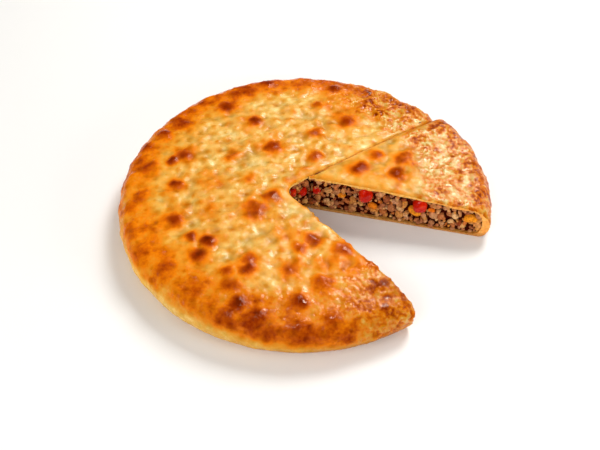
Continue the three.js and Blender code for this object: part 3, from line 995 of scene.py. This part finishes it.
def soft_dough():
    """The inside of the dough where the knife cut it."""
    material, tree, shader = new_material("soft_dough")
    colour = ramp(tree, grain(tree, 2.6 * MM, 3.0), [
        (0.3, paint(232, 160, 62)),
        (0.52, paint(252, 190, 90)),
        (0.75, paint(255, 214, 132)),
    ])
    colour = dyed(tree, colour, RIM_GOLD, number(tree, "dry_rim"))
    place = made(tree, "ShaderNodeTexCoord", out="Object")
    height = made(tree, "ShaderNodeSeparateXYZ", {0: place}, out="Z")
    # Painted shade: the cut dough is darkened close to the base, where the lid shades it.
    colour = dyed(tree, colour, PAINTED_BASE_SHADE, remap(tree, height, *PAINTED_BASE_SHADE_HEIGHTS, 1.0, 0.0))
    fill_in(tree, shader, {
        "Base Color": colour,
        "Normal": bumped(tree, grain(tree, 1.6 * MM, 2.0), 0.8 * MM),
        "Roughness": 0.5,
        "Subsurface Weight": 0.25,
        "Subsurface Radius": (1.0, 0.6, 0.3),
        "Subsurface Scale": 3 * MM,
    })
    return material


DOUGH = soft_dough()
print("finish:", DOUGH.name)

# %% [markdown]
# ## Cutting
# An upright block stands for the room that a cut clears, and a Boolean modifier takes it away. The block
# carries the finish of the cut face, so that the modifier paints the cut as well. A face that only meets
# the hair-thin gap along the slice's back gets a second finish, which keeps the crumbs off it later.

# %% Upright blocks for the cuts
BLOCK_LOW = -10.0
BLOCK_HIGH = 70.0


def block(name, plan, shown, materials):
    """A closed upright block. shown says for each side, from its first corner, if its cut face shows."""
    count = len(plan)
    points = [(*corner, height) for height in (BLOCK_LOW, BLOCK_HIGH) for corner in plan]
    sides = [(i, (i + 1) % count, count + (i + 1) % count, count + i) for i in range(count)]
    faces = sides + [tuple(reversed(range(count))), tuple(range(count, 2 * count))]
    thing = mesh_object(name, points, faces)
    for material in materials:
        thing.data.materials.append(material)
    for i, side_shows in enumerate(shown):
        thing.data.polygons[i].material_index = 0 if side_shows else 1
    return thing


def gap_block(name, recess, materials):
    """The room of the drawn slice and the missing one together."""
    edge = gap_edge(recess)
    start = knife(SLICE_BACK_CUT, recess)
    plan = np.vstack([start[0] + REACH * start[1], edge])
    return block(name, plan, [i > 0 for i in range(len(plan))], materials)


def slice_block(name, back_recess, front_recess, materials):
    """The room of the slice before it is drawn out."""
    back, edge = knife(SLICE_BACK_CUT, -KERF - back_recess), slice_edge(front_recess)
    tip = crossing(back, knife(SLICE_FRONT_CUT, front_recess))
    plan = np.vstack([tip, edge[1], back[0] + REACH * back[1], tip + TIP_SHOWN * back[1]])
    return block(name, plan, [True, False, False, True], materials)


def cut(thing, tool, operation):
    """Cuts with a Boolean modifier, gives the cut faces the tool's finish, and deletes the tool."""
    modifier = thing.modifiers.new("cut", "BOOLEAN")
    modifier.solver = "MANIFOLD"
    modifier.operation = operation
    modifier.material_mode = "TRANSFER"
    modifier.object = tool
    made_plain(thing)
    bpy.data.objects.remove(tool)
    return thing


print("cutters ready")

# %% [markdown]
# ## The crust of the pie and of the slice
# The crust is the dough less the room of the filling. Both pieces are cut from the same skin, so blisters
# and lumps run on from one to the other, and only then is the slice drawn out. A cut makes new points
# along its edges that know nothing of the browning, so they take it from the nearest point of the skin.

# %% Room for the filling
LID_THICKNESS = 3.2
BASE_THICKNESS = 1.4
RIM_THICKNESS = 7.0
FILLING_ROUND = 10.0
FILLING_SQUARENESS = 0.78
FILLING_SIDES = 160
FILLING_SIDE_STEPS = 25
FILLING_LID_STEPS = 40
THICKNESS_SWING = 0.9
THICKNESS_WAVES = (5, 8, 6)


def uneven(x, y, z):
    """A point of the filling's room, moved up or down so that lid and base vary in thickness."""
    along, bend, across = THICKNESS_WAVES
    return x, y, z + THICKNESS_SWING * math.sin(x / along + math.sin(y / bend)) * math.sin(y / across)


def filling_room(name, inset, material):
    """The turned shape of the filling, set in by inset from the dough."""
    edge = RADIUS - RIM_THICKNESS - FILLING_ROUND
    floor, ceiling = BASE_THICKNESS + inset / 3, lid_height(edge) - LID_THICKNESS - inset
    turn = np.linspace(math.pi / 2, -math.pi / 2, FILLING_SIDE_STEPS)
    reach = edge + (FILLING_ROUND - inset) * np.abs(np.cos(turn)) ** FILLING_SQUARENESS
    rise = np.sign(np.sin(turn)) * np.abs(np.sin(turn)) ** FILLING_SQUARENESS
    side = np.stack([reach, (floor + ceiling) / 2 + (ceiling - floor) / 2 * rise], 1)
    out = np.linspace(0, edge, FILLING_LID_STEPS)[1:-1]
    line = np.vstack([np.stack([out, lid_height(out) - LID_THICKNESS - inset], 1), side])
    count = FILLING_SIDES
    angles = 2 * math.pi * np.arange(count) / count
    points = [uneven(r * math.cos(a), r * math.sin(a), height) for r, height in line for a in angles]
    faces = [tuple(range(count)), tuple(reversed(range(len(points) - count, len(points))))]
    for ring in range(len(line) - 1):
        for i in range(count):
            here, there = ring * count + i, ring * count + (i + 1) % count
            faces.append((here, here + count, there + count, there))
    return mesh_object(name, points, faces, material)


cut(dough, filling_room("room", 0.0, DOUGH), "DIFFERENCE")
print(f"hollow dough of {len(dough.data.polygons)} faces")

# %% [markdown]
# ## Lips of the cuts
# A lid that was cut does not keep a sharp edge. It sags a little, its skin turns over the edge, and at the
# outer end of the gap it hangs over in small waves. A brush in sculpt mode would do it by hand. Here the
# distance of each point from the knife line gives the sag, so the same rule serves both crusts.

# %% Lips of the cuts
LIP_DROOP = 1.3
LIP_DROOP_REACH = 8.0
LIP_ROUND = 1.0
LIP_ROUND_REACH = 2.2
CORNER_DROOP = 4.5
CORNER_DROOP_REACH = 22.0
LIP_REACH_TIP = 0.6
LIP_REACH_END = 3.4
LIP_WAVE = 0.7
FINE_LIP_WAVE = 0.8
LIP_WAVE_LENGTHS = (3.7, 9.1)
FINE_LIP_WAVE_LENGTHS = (1.5, 5.3)
LIP_DEPTH = 14
ZONES.update({
    "upper half": (16, 26), "corner rim": (126, 147), "corner front": (60, 100),
    "far along the lip": (45, 125), "start of the lip": (5, 30),
})


def heal_edges(mesh, names):
    """Gives points that a cut made the numbers of the nearest point of the skin."""
    places, on_skin = points_of(mesh), recall(mesh, "skin") > 0.5
    tree = kdtree.KDTree(int(on_skin.sum()))
    for index in np.flatnonzero(on_skin):
        tree.insert(places[index], int(index))
    tree.balance()
    fresh = np.flatnonzero(~on_skin)
    nearest = np.array([tree.find(places[index])[1] for index in fresh], int)
    for name in names:
        values = recall(mesh, name)
        values[fresh] = values[nearest]
        store(mesh, name, values)
    beside = np.linalg.norm(places[fresh] - places[nearest], axis=1) < GRAIN
    store(mesh, "skin", np.where(on_skin, 1.0, 0.0) + np.isin(np.arange(len(places)), fresh[beside]))


def fading(away, reach):
    """1 at an edge, falling to 0 at a distance from it."""
    return np.clip(1 - away / reach, 0, 1) ** 2


def soften_lips(mesh, plan):
    """Lets the lid sag towards a cut, rounds its skin over the edge, and lets it hang over the gap."""
    points = points_of(mesh)
    x, y, z = points.T
    away, upper = distance_to(plan, x, y), zone(z, "upper half")
    sag = LIP_DROOP * fading(away, LIP_DROOP_REACH)
    turned = LIP_ROUND * fading(away, LIP_ROUND_REACH) * recall(mesh, "skin")
    corner = zone(np.hypot(x, y), "corner rim") * zone(-y, "corner front")
    sag += CORNER_DROOP * corner * fading(away, CORNER_DROOP_REACH)
    points[:, 2] = z - upper * (sag + turned)
    start, along, out = knife(GAP_CUT)
    far = (x - start[0]) * along[0] + (y - start[1]) * along[1]
    reach = blend(LIP_REACH_TIP, LIP_REACH_END, zone(far, "far along the lip"))
    (slow, bend), (fine, fine_bend) = LIP_WAVE_LENGTHS, FINE_LIP_WAVE_LENGTHS
    wave = np.sin(far / slow + np.sin(far / bend))
    wave += FINE_LIP_WAVE * np.sin(far / fine + 2 * np.sin(far / fine_bend))
    reach = zone(far, "start of the lip") * (reach + LIP_WAVE * wave)
    beside = np.clip(1 - np.abs((x - start[0]) * out[0] + (y - start[1]) * out[1]) / LIP_DEPTH, 0, 1)
    points[:, :2] += np.outer(upper * reach * beside, out)
    mesh.vertices.foreach_set("co", points.ravel())


print(f"lips hang over by about {LIP_REACH_END} mm")


# %% Cut the two crusts
SHARP_ANGLE = math.radians(50)


def placed(thing, moved=(0, 0)):
    """Puts plan work into the row's frame, smooth-shaded, with its place in the mesh."""
    thing.data.transform(TO_ROW @ Matrix.Translation((*moved, 0)))
    thing.data.shade_smooth()
    thing.data.set_sharp_from_angle(angle=SHARP_ANGLE)
    return thing


def crust(name, tool, operation, plan, moved):
    """One crust, cut from a copy of the dough along a plan and moved to its place in the row's frame."""
    thing = bpy.data.objects.new(name, dough.data.copy())
    bpy.context.scene.collection.objects.link(thing)
    cut(thing, tool, operation)
    heal_edges(thing.data, SKIN_READS)
    soften_lips(thing.data, plan)
    return placed(thing, moved)


gap_plan = np.vstack([BACK_END, gap_edge(0.0)])
slice_plan = np.vstack([BACK_END, slice_edge(0.0)])
gap_tool = gap_block("gap", 0.0, [DOUGH, DOUGH])
slice_tool = slice_block("slice", 0.0, 0.0, [DOUGH, DOUGH])
crust_body = crust("crust_of_pie", gap_tool, "DIFFERENCE", gap_plan, (0, 0))
crust_slice = crust("crust_of_slice", slice_tool, "INTERSECT", slice_plan, DRAWN)
bpy.data.objects.remove(dough)
print(f"crusts of {len(crust_body.data.polygons)} and {len(crust_slice.data.polygons)} faces")

# %% [markdown]
# ## Red pepper
# The dice of red pepper are soft cubes that lost their corners in cooking. Each takes the place and size
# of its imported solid: a cube cut fine, blown towards a ball, and dented a little. A bevelled cube would
# be quicker, but its flat sides would look like plastic.

# %% Finish and shape of the pepper
DICE_STEPS = 5
DICE_SQUARENESS = 2.6
DICE_SIZE = 0.94
DICE_DENT = 0.08
DENT_TURNS = (2.6, 2.1)


def red_pepper():
    """Wet red flesh of cooked pepper."""
    material, tree, shader = new_material("red_pepper")
    colour = ramp(tree, grain(tree, 5 * MM, 2.0), [
        (0.3, paint(172, 10, 0)),
        (0.55, paint(204, 28, 2)),
        (0.8, paint(228, 74, 10)),
    ])
    flesh = bumped(tree, grain(tree, 2 * MM, 2.0), 0.25 * MM)
    finish = {"Base Color": colour, "Normal": flesh, "Roughness": 0.2, "Specular IOR Level": 0.25}
    fill_in(tree, shader, finish)
    return material


def dice_mesh(name, place, seed, material):
    """A soft, dented cube. place turns and stretches it from the size of a ball of radius 1."""
    shape = bmesh.new()
    bmesh.ops.create_cube(shape, size=2.0)
    bmesh.ops.subdivide_edges(shape, edges=shape.edges, cuts=DICE_STEPS, use_grid_fill=True)
    for point in shape.verts:
        point.co /= sum(abs(v) ** DICE_SQUARENESS for v in point.co) ** (1 / DICE_SQUARENESS)
        dent = math.sin(DENT_TURNS[0] * point.co.x + seed)
        dent *= math.sin(DENT_TURNS[1] * point.co.y + 2.0 * seed)
        point.co *= DICE_SIZE + DICE_DENT * dent
    mesh = bpy.data.meshes.new(name)
    shape.to_mesh(mesh)
    shape.free()
    mesh.transform(place)
    mesh.shade_smooth()
    mesh.materials.append(material)
    return mesh


def pepper(node, seed):
    """A dice of pepper in the place of a packed one."""
    low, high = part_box(node)
    size = (high - low) / 2
    place = Matrix.Translation((low + high) / 2) @ Matrix.Diagonal((*size, 1))
    thing = bpy.data.objects.new(node.replace("pepper", "dice"), dice_mesh(node, place, seed, PEPPER))
    dice_tray.objects.link(thing)
    return thing


PEPPER = red_pepper()
dice_tray = bpy.data.collections.new("dice")
bpy.context.scene.collection.children.link(dice_tray)
pepper_nodes = sorted(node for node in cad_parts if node.startswith("pepper"))
peppers = {node: pepper(node, seed) for seed, node in enumerate(pepper_nodes)}
print("dice:", [thing.name for thing in peppers.values()])

# %% [markdown]
# ## The minced filling
# Cooked mince is a mass of crumbs a few millimetres across, with dark gaps between them and a few bits of
# orange vegetable and pale onion. Modelling the mass right through would waste faces. A core fills the room
# inside the dough, set back from the knife, and is painted near black as the shade in the gaps; crumbs sit
# on the faces that the cuts show. The crumbs alternate between pinkish grey and golden, and the last part of
# the ramp is for the vegetables.

# %% Finishes of the mince
CRUMB_COLOURS = [
    (0.0, paint(160, 68, 24)),
    (0.14, paint(192, 126, 86)),
    (0.28, paint(216, 122, 50)),
    (0.42, paint(206, 144, 100)),
    (0.56, paint(230, 156, 72)),
    (0.7, paint(218, 156, 114)),
    (0.82, paint(240, 182, 104)),
    (0.88, paint(240, 190, 138)),
    (0.9, paint(252, 160, 34)),
    (1.0, paint(246, 112, 20)),
]
CRUMB_SHADE = paint(190, 178, 160)
# Near black, painted for the shade in the gaps between the crumbs.
PAINTED_GAP_SHADE_DARK = paint(40, 4, 0)
PAINTED_GAP_SHADE_LIGHT = paint(84, 18, 1)


def cooked_mince():
    """Crumbs of mince and bits of vegetable, coloured by the tint of each."""
    material, tree, shader = new_material("cooked_mince")
    colour = ramp(tree, number(tree, "tint"), CRUMB_COLOURS)
    mottled = ramp(tree, grain(tree, 1.4 * MM, 2.0), [(0.3, CRUMB_SHADE), (0.65, WHITE)])
    strands = bumped(tree, grain(tree, 1.2 * MM, 2.0), 0.2 * MM)
    colour = dyed(tree, colour, mottled)
    finish = {"Base Color": colour, "Normal": strands, "Roughness": 0.4, "Specular IOR Level": 0.06}
    fill_in(tree, shader, finish)
    return material


def mince_core():
    """The dark mass between the crumbs, painted near black as the shade in the gaps."""
    material, tree, shader = new_material("mince_core")
    colour = ramp(tree, grain(tree, 4 * MM, 3.0), [(0.35, PAINTED_GAP_SHADE_DARK), (0.7, PAINTED_GAP_SHADE_LIGHT)])
    rough = bumped(tree, grain(tree, 1.5 * MM, 2.0), 0.6 * MM)
    finish = {"Base Color": colour, "Normal": rough, "Roughness": 0.4, "Specular IOR Level": 0.02}
    fill_in(tree, shader, finish)
    return material


MINCE = cooked_mince()
CORE = mince_core()
CUT_MINCE = CORE.copy()
CUT_MINCE.name = "mince_core_cut"
print("finishes:", MINCE.name, CORE.name)

# %% [markdown]
# ## Bits of vegetable
# A few longer bits of orange vegetable and pale onion lie in the cut faces, between the crumbs. They could
# come out of the scatter below, but the eye finds them first, so each one is listed: how far along
# the edge of the cut it lies, its height, its length and its tint. They are made like slim dice.

# %% Bits of vegetable among the mince
SLICE_BITS = [
    (27, 21, 7, 0.92), (53, 15, 9, 0.95), (76, 17, 7, 0.86), (88, 17, 12, 0.91), (102, 21, 6, 0.97),
    (134, 19, 12, 0.91), (14, 12, 6, 0.86), (118, 12, 6, 0.86),
]
BODY_BITS = [
    (30, 18, 8, 0.93), (50, 11, 9, 0.86), (86, 20, 8, 0.96), (120, 12, 10, 0.92), (145, 19, 8, 0.86),
]
BIT_SET_IN = 0.8
BIT_WIDTH = 2 / 3.4
BIT_TILT = 0.5


def along_edge(edge, distance):
    """The place at a distance along a line of straight pieces, and the way along it there."""
    for start, end in zip(edge, edge[1:]):
        length = np.linalg.norm(end - start)
        if distance <= length:
            break
        distance -= length
    return start + distance * (end - start) / length, (end - start) / length


def vegetable_bits(name, rows, edge, moved):
    """Soft bits set in a cut face: distance along its edge, height, length and tint."""
    shape = bmesh.new()
    for seed, (distance, height, length, tint) in enumerate(rows):
        place, way = along_edge(edge, distance)
        turn = Matrix.Rotation(math.atan2(way[1], way[0]), 4, "Z")
        turn = turn @ Matrix.Rotation(BIT_TILT * math.sin(7 * seed), 4, "Y")
        half, half_width = length / 2, length / 2 * BIT_WIDTH
        size = Matrix.Diagonal((half, half_width, half_width, 1))
        whole = TO_ROW @ Matrix.Translation((*(place + moved), height)) @ turn @ size
        bit = dice_mesh(name, whole, seed, MINCE)
        store(bit, "tint", np.full(len(bit.vertices), tint))
        shape.from_mesh(bit)
        bpy.data.meshes.remove(bit)
    thing = mesh_object(name, [], [], MINCE)
    shape.to_mesh(thing.data)
    shape.free()
    return thing


print(f"{len(SLICE_BITS)} bits for the slice and {len(BODY_BITS)} for the pie")

# %% [markdown]
# ## Crumbs
# The crumbs are a scatter, which geometry nodes do well: points spread over the cut faces, away from the
# pepper and the bits, and a small rough ball on each, of a random size, turn and tint. Where a slow noise
# is low the points are left out, so that dark gaps open between the crumbs.

# %% A tree that sets crumbs on the cut faces
CRUMBS = {
    "Size": 4.9 * MM,
    "Spacing": 2.75 * MM,
    "Stand Out": 1.0 * MM,
    "Lowest": (BASE_THICKNESS + 1.6) * MM,
    "Headroom": 1.1 * MM,
    "Into Lid": 0.4 * MM,
    "Floor": BASE_THICKNESS * MM,
    "Density": 8e5,
    "Knobs": 0.9 * MM,
    "Knob Size": 2.2 * MM,
    "Clearance": 0.8 * MM,
    "Void Size": 3.4 * MM,
    "Voids": -0.55,
}
VOID_SEED = 91.0
KNOB_SEED = 55.0
CRUMB_STRETCH = (0.55, 1.4)
CRUMB_TINTS = (0.0, 0.9)
SMALLEST_CRUMB = 0.5
LARGER_CRUMBS = 0.75
FEWER_LARGE_CRUMBS = 1.6
FULL_TURN = 6.28
TURN_SEED, SIZE_SEED, TINT_SEED, STRETCH_SEED = 1, 2, 3, 4


def random_vector(tree, low, high, seed):
    """Three random numbers for each crumb."""
    values = {0: (low,) * 3, 1: (high,) * 3, "Seed": seed}
    return made(tree, "FunctionNodeRandomValue", values, data_type="FLOAT_VECTOR")


def drop_below(tree, points, value, limit):
    """Leaves out the points where a value is below a limit."""
    below = made(tree, "FunctionNodeCompare", {0: value, 1: limit}, operation="LESS_THAN")
    dropped = {"Geometry": points, "Selection": below}
    return made(tree, "GeometryNodeDeleteGeometry", dropped)


def clear_of(tree, points, solids, distance):
    """Leaves out the points that lie within a distance of some solids."""
    near = add_node(tree, "GeometryNodeProximity", {"Geometry": solids}, target_element="FACES")
    return drop_below(tree, points, near.outputs["Distance"], distance)


def between(tree, geometry, lowest, highest):
    """Moves points that lie too low or too high to the nearest height allowed."""
    place = made(tree, "GeometryNodeInputPosition")
    x, y, z = add_node(tree, "ShaderNodeSeparateXYZ", {0: place}).outputs
    kept_height = calc(tree, "MINIMUM", calc(tree, "MAXIMUM", z, lowest), highest)
    allowed = made(tree, "ShaderNodeCombineXYZ", {0: x, 1: y, 2: kept_height})
    moved = {"Geometry": geometry, "Position": allowed}
    return made(tree, "GeometryNodeSetPosition", moved)


def crumb_places(tree, given, bits):
    """Points spread over the faces with the cut finish, clear of the dice and the bits."""
    shown = made(tree, "GeometryNodeMaterialSelection", {"Material": CUT_MINCE})
    points = scattered(tree, given, "", given["Seed"], shown)
    dice = made(tree, "GeometryNodeCollectionInfo", {"Collection": dice_tray})
    dice = made(tree, "GeometryNodeRealizeInstances", {"Geometry": dice})
    free = pushed(tree, points["Points"], points["Normal"], given["Stand Out"])
    free = clear_of(tree, free, dice, given["Clearance"])
    free = clear_of(tree, free, bits, given["Clearance"])
    highest = calc(tree, "SUBTRACT", named(tree, "ceiling"), given["Headroom"])
    free = between(tree, free, given["Lowest"], highest)
    return drop_below(tree, free, noise_swing(tree, given["Void Size"], 0.0, VOID_SEED), given["Voids"])


def crumb_tree():
    """Sets rough crumbs on the faces with the cut finish, and keeps a random tint for each crumb."""
    others = (("Seed", "NodeSocketInt"), ("Bits", "NodeSocketObject"))
    tree, given = new_tree("mince crumbs", CRUMBS, others)
    bits = made(tree, "GeometryNodeObjectInfo", {"Object": given["Bits"]}, out="Geometry")
    ball = {"Radius": times(tree, given["Size"], 0.5), "Subdivisions": 2}
    ball = made(tree, "GeometryNodeMeshIcoSphere", ball)
    size = calc(tree, "POWER", random_between(tree, 0.0, 1.0, SIZE_SEED), FEWER_LARGE_CRUMBS)
    size = more(tree, SMALLEST_CRUMB, size, LARGER_CRUMBS)
    setting = {"Points": crumb_places(tree, given, bits), "Instance": ball}
    setting["Rotation"] = random_vector(tree, 0.0, FULL_TURN, TURN_SEED)
    setting["Scale"] = scaled_way(tree, random_vector(tree, *CRUMB_STRETCH, STRETCH_SEED), size)
    crumbs = made(tree, "GeometryNodeInstanceOnPoints", setting)
    tint = random_between(tree, *CRUMB_TINTS, TINT_SEED)
    tinted = {"Geometry": crumbs, "Name": "tint", "Value": tint}
    crumbs = made(tree, "GeometryNodeStoreNamedAttribute", tinted, domain="INSTANCE")
    crumbs = made(tree, "GeometryNodeRealizeInstances", {"Geometry": crumbs})
    normal = made(tree, "GeometryNodeInputNormal")
    swing = times(tree, noise_swing(tree, given["Knob Size"], 1.0, KNOB_SEED), given["Knobs"])
    crumbs = pushed(tree, crumbs, normal, swing)
    highest = calc(tree, "ADD", named(tree, "ceiling"), given["Into Lid"])
    crumbs = between(tree, crumbs, given["Floor"], highest)
    crumbs = made(tree, "GeometryNodeSetMaterial", {"Geometry": crumbs, "Material": MINCE})
    both = add_node(tree, "GeometryNodeJoinGeometry")
    for geometry in (given["Geometry"], crumbs, bits):
        tree.links.new(geometry, both.inputs[0])
    add_node(tree, "NodeGroupOutput", {"Geometry": both.outputs[0]})
    return tree


print(f"crumbs with {len(CRUMBS)} named inputs")

# %% Fill the pie and the slice
CORE_INSET = -0.9
CORE_RECESS = 2.9
CORE_BACK_RECESS = 0.4
BODY_SEED = 4
SLICE_SEED = 9


def filling(name, tool, operation, seed, bits, moved):
    """A core cut back from the knife, with crumbs and bits over what the cuts show."""
    thing = filling_room(name, CORE_INSET, CORE)
    cut(thing, tool, operation)
    out = np.hypot(*points_of(thing.data).T[:2])
    store(thing.data, "ceiling", (lid_height(out) - LID_THICKNESS) * MM)
    placed(thing, moved)
    with_tree(thing, crumb_tree(), {**CRUMBS, "Seed": seed, "Bits": bits})
    bpy.data.objects.remove(bits)
    thing.data.shade_smooth()
    return thing


body_tool = gap_block("gap", CORE_RECESS, [CUT_MINCE, CORE])
slice_tool = slice_block("slice", CORE_BACK_RECESS, CORE_RECESS, [CUT_MINCE, CORE])
body_bits = vegetable_bits("bits", BODY_BITS, gap_edge(BIT_SET_IN), np.zeros(2))
slice_bits = vegetable_bits("bits", SLICE_BITS, slice_edge(BIT_SET_IN), DRAWN)
filling_body = filling("filling_of_pie", body_tool, "DIFFERENCE", BODY_SEED, body_bits, (0, 0))
filling_slice = filling("filling_of_slice", slice_tool, "INTERSECT", SLICE_SEED, slice_bits, DRAWN)
print(f"fillings of {len(filling_body.data.polygons)} and {len(filling_slice.data.polygons)} faces")

# %% [markdown]
# ## The stage and the light
# The floor is a plain pale sheet. The photograph was lit by one large soft light from behind on the right,
# which makes the oily bumps glint on their right sides. A large area lamp stands for it, and softer lamps
# without a reflection stand for the white room: one from the front left, one from above, and two weak ones
# close to the floor for the light that a table throws up. A small lamp that only glints picks out the fat.

# %% Floor and lamps
FLOOR_HALF = 3
FLOOR_DROP = 0.3 * MM
FLOOR_CORNERS = [(-1, -1), (1, -1), (1, 1), (-1, 1)]
# Name, place, height of the aim, size, power, and the kind of light that the lamp leaves out.
LAMPS = [
    ("key", (0.52, 0.85, 1.1), 0.0, 0.6, 20.5, None),
    ("fill", (-0.7, -1.0, 0.75), 0.0, 1.2, 12.3, "visible_glossy"),
    ("top", (0, 0, 2.0), 0.0, 1.2, 4.0, "visible_glossy"),
    ("glint", (-0.2, -0.2, 1.6), 0.0, 0.3, 3.5, "visible_diffuse"),
    ("bounce", (0.69, -0.41, 0.3), 0.02, 0.3, 2.7, "visible_glossy"),
    ("left bounce", (-0.75, -0.5, 0.25), 0.02, 0.3, 1.2, "visible_glossy"),
]
ROOM_COLOUR = (1.0, 0.96, 0.9, 1.0)
ROOM_STRENGTH = 0.1

corners = [(FLOOR_HALF * x, FLOOR_HALF * y, -FLOOR_DROP) for x, y in FLOOR_CORNERS]
floor_paint, floor_tree, floor_shader = new_material("pale_floor")
fill_in(floor_tree, floor_shader, {"Base Color": paint(243, 241, 237), "Roughness": 0.7})
floor = mesh_object("floor", corners, [(0, 1, 2, 3)], floor_paint)


def soft_lamp(name, place, aim_height, size, power, unseen):
    """A square area lamp that looks at the pie. unseen names the kind of light that it leaves out."""
    lamp = bpy.data.objects.new(name, bpy.data.lights.new(name, "AREA"))
    lamp.data.size = size
    lamp.data.energy = power
    lamp.location = place
    lamp.rotation_euler = (Vector((0, 0, aim_height)) - Vector(place)).to_track_quat("-Z", "Y").to_euler()
    if unseen:
        setattr(lamp, unseen, False)
    bpy.context.scene.collection.objects.link(lamp)


for row in LAMPS:
    soft_lamp(*row)
world = bpy.data.worlds.new("white room")
world.use_nodes = True
room = world.node_tree.nodes["Background"]
fill_in(world.node_tree, room, {"Color": ROOM_COLOUR, "Strength": ROOM_STRENGTH})
bpy.context.scene.world = world
bpy.context.scene.view_settings.view_transform = "Standard"
print("lamps:", [light.name for light in bpy.data.lights])

# %% [markdown]
# ## Joining the pieces to the frame
# Every piece rides on the one body of the pie and stands for its imported solid, which is hidden.


# %% Hand the pieces to the frame
def hand_over(thing, node):
    """Joins a piece to the body and hides the solid that it stands for."""
    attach(thing, "root")
    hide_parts(node)


hand_over(crust_body, "crust_body")
hand_over(crust_slice, "crust_slice")
hand_over(filling_body, "filling_body")
hand_over(filling_slice, "filling_slice")
for node, thing in peppers.items():
    hand_over(thing, node)
